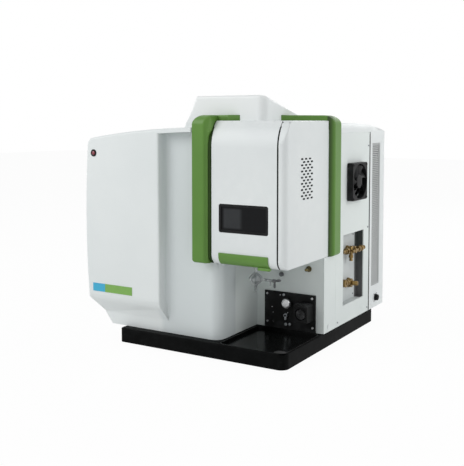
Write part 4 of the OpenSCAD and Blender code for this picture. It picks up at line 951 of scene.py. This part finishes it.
# Pump: its pocket has as many points as the outline of the head
HEAD, HEAD_DEPTH, HEAD_BACK, POCKET_R = Vector((285.5, PLATE_Y, 109)), 45, 4, 18
head_outline = rounded(44, 54, 5)
angles = [pi * (2 * k + 1) / len(head_outline) for k in range(len(head_outline))]
pocket = [(POCKET_R * cos(a), POCKET_R * sin(a)) for a in angles]
head = drawn(plate, head_outline, -Y, HEAD, HEAD_BACK, HEAD_DEPTH, pocket)
plate(head, head_outline, -Y, HEAD, 0, HEAD_BACK)
piece("pump_body", head, "black_plastic", stands_for="pump_head", width=1.5)
jaws = bmesh.new()
for low, high in (((266, -170.5, 130.5), (305, -130, 138)), ((269, -173, 134.5), (278, -150, 140)),
        ((293, -173, 134.5), (302, -150, 140))):
    block(jaws, low, high)
piece("pump_jaws", jaws, "black_plastic", width=2.4, segments=3)


def facing_front(y, spots):
    """Points (x, z) on an upright face, as screws take them."""
    return [((x, y, z), -Y) for x, z in spots]


screws("pump_body_screws", facing_front(PLATE_Y - HEAD_DEPTH, [(HEAD.x + u, HEAD.z + v) for u in (-17.5, 17.5)
    for v in (-22.5, 17)]), 2.6, 1.6, "black_plastic")
screws("plate_screws", facing_front(PLATE_Y, [(151, 150), (303, 150), (152, 64), (305, 61)]), 3.6, 2)
screws("plate_small_screws", facing_front(PLATE_Y, [(168, 110), (172, 94), (172, 66), (196, 150), (222, 98)]), 1.9, 1.4)
caps = bmesh.new()
for x, z, r in ((208, 151.6, 4), (215, 61, 5), (229, 63, 4.4)):
    turned(caps, [(0, 0), (0, r), (2.4, r), (3.4, r * 0.8), (3.8, 0)], -Y, (x, PLATE_Y, z), 24)
piece("plate_caps", caps, "frame_steel")

# Face of the pump rotor: hub and the ends of the roller pins
ROTOR = Vector((HEAD.x, -165.9, HEAD.z))
hub = drawn(turned, [(0, 0), (0, 6.4), (1.6, 6.4), (2.4, 5.4), (2.4, 3), (1.4, 2.6), (1.4, 0)], -Y, ROTOR, 28)
piece("rotor_hub", hub, "frame_steel", "pump_rotor", finish="rotor_dark")
pin = drawn(turned, [(0, 0), (0, 3.2), (1.2, 3.2), (1.8, 2.6), (1.8, 1.2), (1.2, 0.9), (1.2, 0)], -Y, (11, 0, 0), 20)
ring("rotor_pins", pattern(pin), 6, Y, ROTOR, "frame_steel", "pump_rotor", finish="rotor_dark")

KNOB = Vector((223, PLATE_Y - 0.5, 129))
knob = drawn(turned, [(0, 0), (0, 10.8), (2.6, 10.8), (3, 13.7), (4, 14.3), (15.5, 14.3), (17, 14.1), (19, 12.8),
    (19.4, 10.2), (19, 9.6), (19, 0)], -Y, KNOB, 48)
piece("knob_core", knob, "bright_steel", "tension_knob", "tension_knob")
ridge = drawn(plate, [(13.9, -0.55), (15, -0.15), (15, 0.15), (13.9, 0.55)], -Y, ORIGIN, 4.2, 16)
ring("knob_ridges", pattern(ridge), 40, Y, KNOB, "bright_steel", "tension_knob")

LEVER = Vector((217, PLATE_Y - 0.5, 90))
lever = drawn(turned, [(0, 3.1), (0, 5.6), (0.4, 6), (8.6, 6), (9, 5.6), (9, 3.1)], -Y, LEVER, 32)
plate(lever, [(-3.2, -5), (3.2, -5), (3.5, -9), (3.2, -11.8), (2, -13.5), (0, -14), (-2, -13.5), (-3.2, -11.8),
    (-3.5, -9)], -Y, LEVER, 2, 9)
piece("lever_arm", lever, "frame_steel", "release_lever", "release_lever", 0.8)


# Fan: hub and swept blades, each a bowed skin of two sides
FAN_DEPTH, HOLE, ROWS, COLUMNS, HALF_SKIN = 20, 52.5, 7, 5, 0.6
boss = drawn(turned, [(4, 0), (4, 21), (5, 22), (15.5, 22), (17.4, 20.6), (18, 18), (18, 0)], X, FAN, 44)
piece("fan_hub", boss, "black_plastic", "fan_rotor", "fan_rotor")
skin = []
for k in range(ROWS):
    share = k / (ROWS - 1)
    radius, half = 20.5 + 33 * share, 11.5 + 5.5 * share
    sweep, pitch = radians(-8 + 26 * share), radians(46 - 14 * share)
    line = []
    for i in range(COLUMNS):
        s = i / 2 - 1
        bow = 2.4 * (1 - s * s)
        angle = sweep + s * half * cos(pitch) / radius
        along = 11 + s * min(half * sin(pitch), 6.2) + bow * 0.4
        line.append((along, radius * sin(angle), radius * cos(angle)))
    skin.append(line)
blade = bmesh.new()
under, over = [[[blade.verts.new((p[0] + side, p[1], p[2])) for p in line] for line in skin]
    for side in (-HALF_SKIN, HALF_SKIN)]
for grid in (under, over):
    for k in range(ROWS - 1):
        for i in range(COLUMNS - 1):
            blade.faces.new((grid[k][i], grid[k][i + 1], grid[k + 1][i + 1], grid[k + 1][i]))
border = [(0, i) for i in range(COLUMNS)] + [(k, COLUMNS - 1) for k in range(1, ROWS)]
border += [(ROWS - 1, i) for i in range(COLUMNS - 2, -1, -1)] + [(k, 0) for k in range(ROWS - 2, 0, -1)]
for (k, i), (m, j) in zip(border, border[1:] + border[:1]):
    blade.faces.new((under[k][i], under[m][j], over[m][j], over[k][i]))
ring("fan_blades", pattern(blade), 7, X, FAN, "black_plastic", "fan_rotor")
screws("fan_screws", [((SIDE_X + FAN_DEPTH, FAN.y + u, FAN.z + v), X) for u in (-HOLE, HOLE) for v in (-HOLE, HOLE)],
    3.2, 1.4, "black_plastic")


# Brass fittings of the service recess
VALVE, OUTLET = Vector((RECESS_X, 100, 268)), Vector((343, 126, 268))
valve = drawn(turned, chamfered(14, 0, 9, 1.2), X, VALVE, 6)
turned(valve, [(9, 10), (10, 11), (11, 10), (12, 13), (13, 14), (22, 14), (23, 13), (24, 9), (26.5, 8), (26.5, 3),
    (33, 3), (33, 0)], X, VALVE, 32)
turned(valve, [(0, 6), (17, 6), (17, 7.5), (24, 7.5), (24, 5), (28, 5), (30, 6), (32, 5), (34, 6), (34, 0)], -Z,
    VALVE + X * 17, 24)
for way, reach in ((-Y, 58), (Y, 50)):
    turned(valve, [(10, 7), (22, 7), (22, 9.5), (23, 10.5), (31, 10.5), (32, 9.5), (32, 6), (36, 6), (36.5, 8),
        (42, 8), (42.5, 6), (reach, 5.4), (reach + 1, 4.5), (reach + 1, 0)], way, VALVE + X * 14, 20)
piece("valve_body", valve, "brass_plain", stands_for="gas_valve")
outlet = drawn(turned, [(0, 0), (0, 6), (4, 6), (4.5, 9), (5.5, 10), (15, 10), (16, 9), (16.5, 7), (28, 7), (28.5, 9.4),
    (30, 10.2), (39, 10.2), (40, 9.4), (40.5, 6.4), (44, 6.4)], Y, OUTLET, 6)
turned(outlet, [(43, 0), (43, 6), (47, 6), (47.5, 7), (50, 6), (50.5, 7), (53, 6), (53.5, 7), (57, 5.4), (58, 4.6),
    (58, 0)], Y, OUTLET, 24)
tube(outlet, [(331, 122, 268), (334, 126, 268), (339, 128, 268), (343, 130, 268)], [5, 5, 5, 5])
piece("valve_outlet", outlet, "brass_plain")
wing = drawn(turned, [(28, 3.1), (28, 7), (28.8, 8), (35.2, 8), (36, 7), (36, 0)], X, VALVE, 28)
wing_shape = [(-22, -3), (-20.5, -4), (-8, -3.4), (8, -3.4), (20.5, -4), (22, -3), (22, 3), (20.5, 4), (8, 3.4),
    (-8, 3.4), (-20.5, 4), (-22, 3)]
plate(wing, wing_shape, X, VALVE, 29, 35, roll=pi / 2)
piece("wing_handle", wing, "brass_plain", "valve_wing", "valve_wing", 1)
COOLANT, DRAIN = Vector((RECESS_X, 111, 160)), Vector((RECESS_X, 62, 166))
tail = drawn(turned, chamfered(16, 0, 9, 1.4), X, COOLANT, 6)
turned(tail, [(9, 12), (10, 14), (16, 14), (17, 12), (17, 7), (21, 7), (22, 8), (26, 6.6), (26.5, 8), (31, 6.6),
    (31.5, 8), (36, 6.4), (37, 5.6), (37, 0)], X, COOLANT, 28)
piece("coolant_tail", tail, "brass_plain", stands_for="coolant_fitting")
drain = drawn(turned, chamfered(14, 0, 8, 1.2), X, DRAIN, 6)
turned(drain, [(8, 11), (9, 12), (17, 12), (18, 11), (18, 0)], X, DRAIN, 28)
turned(drain, [(0, 8), (14, 8), (15, 10), (21, 10), (22, 8), (24, 6), (27, 7), (30, 6), (31, 0)], Y, DRAIN + X * 12, 24)
piece("drain_elbow", drain, "brass_plain")


# Rear louvre, gland and feet
rim = drawn(plate, rounded(484, 72, 3), X, (336, 294, 365), 0, 3, rounded(472, 60, 2), pi)
piece("louvre_rim", rim, "louvre_grey", width=0.6)
slat = drawn(plate, [(-1.5, -2.2), (-0.6, -2.2), (1.5, 1.6), (1.5, 2.5), (0.6, 2.5), (-1.5, -1.3)], Y,
    (337.4, 264, 129.7), 0, 60)
repeated("louvre_slats", row_of_forms, pattern(slat), {"Count": 76, "Step": (0, 0, 6.26 * MM)}, "louvre_grey",
    stands_for="rear_louvre")
# Dark sheet behind the slats, painted shade of the space behind the louvre
piece("louvre_back", drawn(block, (334.6, 263, 126), (335.4, 325, 604)), "black_plastic", width=0.2, finish="seam_dark")

GLAND, GLAND_RING = Vector((SIDE_X, 298, 79)), 17
gland = drawn(turned, [(-12, 0), (-12, 10), (-4, 10), (-4, 8), (0, 8), (0, 10.4), (0.8, 11.4), (4.2, 11.4), (5, 10.4),
    (5, 9), (10, 9), (11.4, 8), (12, 6.4), (12, 4), (9, 3.6), (9, 0)], X, GLAND, 36)
piece("gland_body", gland, "black_plastic", stands_for="cable_gland")
ring("gland_ribs", pattern(drawn(block, (5.2, 8.6, -0.9), (10.6, 9.9, 0.9)), 0.3), 14, X, GLAND, "black_plastic")
screws("gland_screws", [((SIDE_X, GLAND.y + GLAND_RING * cos(a), GLAND.z + GLAND_RING * sin(a)), X)
    for a in (pi / 4 + k * pi / 2 for k in range(4))], 2, 1.4)

feet = bmesh.new()
for spot in ((x, y, 0) for x in (-198, 309) for y in (-339, 240)):
    turned(feet, [(0, 0), (0, 16), (1, 17.6), (2, 18), (8, 17.4), (10, 17.9), (12, 17.4), (42, 17.4), (42, 0)], Z,
        spot, 36)
piece("foot_pads", feet, "foot_rubber", stands_for="rubber_feet")

# Fixings on the covers, and the hatch at the rear
HATCH = Vector((30, REAR_Y, 250))
for name, points, radius, height in (
        ("side_screws", [((SIDE_X, y, z), X) for y in (-20, 222) for z in (60, 330, 600)], 3, 1.3),
        ("recess_screws", [((RECESS_X, y, z), X) for y in (34, 156) for z in (116, 312)], 2.4, 1.3),
        ("rear_screws", [((x, REAR_Y, z), Y) for x in (-250, 0, 250) for z in (70, 600)], 3.4, 1.4),
        ("hatch_screws", [((HATCH.x + u, REAR_Y + 1.6, HATCH.z + v), Y) for u in (-196, 0, 196) for v in (-112, 112)],
            3.4, 1.2)):
    screws(name, points, radius, height, "frame_steel")
piece("rear_hatch", drawn(plate, rounded(420, 250, 12), Y, HATCH, 0, 1.6), "white_sheet", width=0.8)
piece("corner_clip", drawn(plate, rounded(12, 9, 2), X, (SIDE_X, -89, 63), 0, 2.2), "white_plastic", width=0.6)

# Parts that keep their solid take the finish of their slot
DARK_ROTOR = {"pump_rotor": "rotor_dark", "pump_rollers": "rotor_dark"}
for name, part in nodes.items():
    if part.hide_render:
        continue
    if not part.material_slots:
        part.data.materials.append(None)
    for place in part.material_slots:
        place.material = FINISHES[DARK_ROTOR.get(name, slot_of[name])]


# Floor, light and background
def seen_rays(graph):
    """1 for rays that show a surface, 0 for those that only light it."""
    rays = {name: graph.node("LightPath", out=name)
        for name in ("Is Camera Ray", "Is Glossy Ray", "Is Transmission Ray")}
    return rays["Is Camera Ray"].highest(rays["Is Glossy Ray"]).highest(rays["Is Transmission Ray"])


floor_look = Finish("pale_floor")
specks = floor_look.noise(40, 3)
pale = floor_look.blend(specks, (244, 244, 243), (250, 250, 250))
matt = floor_look.node("BsdfDiffuse", {"Color": pale})
glow = floor_look.node("Emission", {"Color": (1, 1, 1, 1), "Strength": 1})
mixed = floor_look.node("MixShader", {0: seen_rays(floor_look) * 0.955, 1: matt, 2: glow})
floor_look.tree.links.new(mixed.link, floor_look.tree.nodes.new("ShaderNodeOutputMaterial").inputs["Surface"])
floor_mesh = bpy.data.meshes.new("floor")
floor_mesh.from_pydata([(-12, -12, 0), (12, -12, 0), (12, 12, 0), (-12, 12, 0)], [], [(0, 1, 2, 3)])
floor_mesh.materials.append(floor_look.material)
placed("floor", floor_mesh)

world = bpy.data.worlds.new("studio")
world.use_nodes = True
bpy.context.scene.world = world
sky = Graph(world.node_tree)
level = seen_rays(sky) * 0.52 + 0.48
air = sky.node("Background", {"Color": (1, 1, 1, 1), "Strength": level})
world.node_tree.links.new(air.link, world.node_tree.nodes.new("ShaderNodeOutputWorld").inputs["Surface"])


def lamp(name, spot, aim, size, power):
    light = bpy.data.lights.new(name, "AREA")
    light.shape = "SQUARE"
    light.size = size
    light.energy = power
    made = placed(name, light)
    made.location = spot
    made.rotation_euler = (Vector(aim) - Vector(spot)).to_track_quat("-Z", "Y").to_euler()


lamp("front_light", (-1.7, -3.0, 2.5), (0, 0, 0.4), 2.4, 66)
lamp("right_light", (3.0, 1.1, 1.5), (0.34, 0.1, 0.4), 2.0, 30)
lamp("rear_light", (0.4, 3.2, 2.6), (0, 0, 0.4), 2.4, 30)

bpy.context.scene.view_settings.view_transform = "Standard"
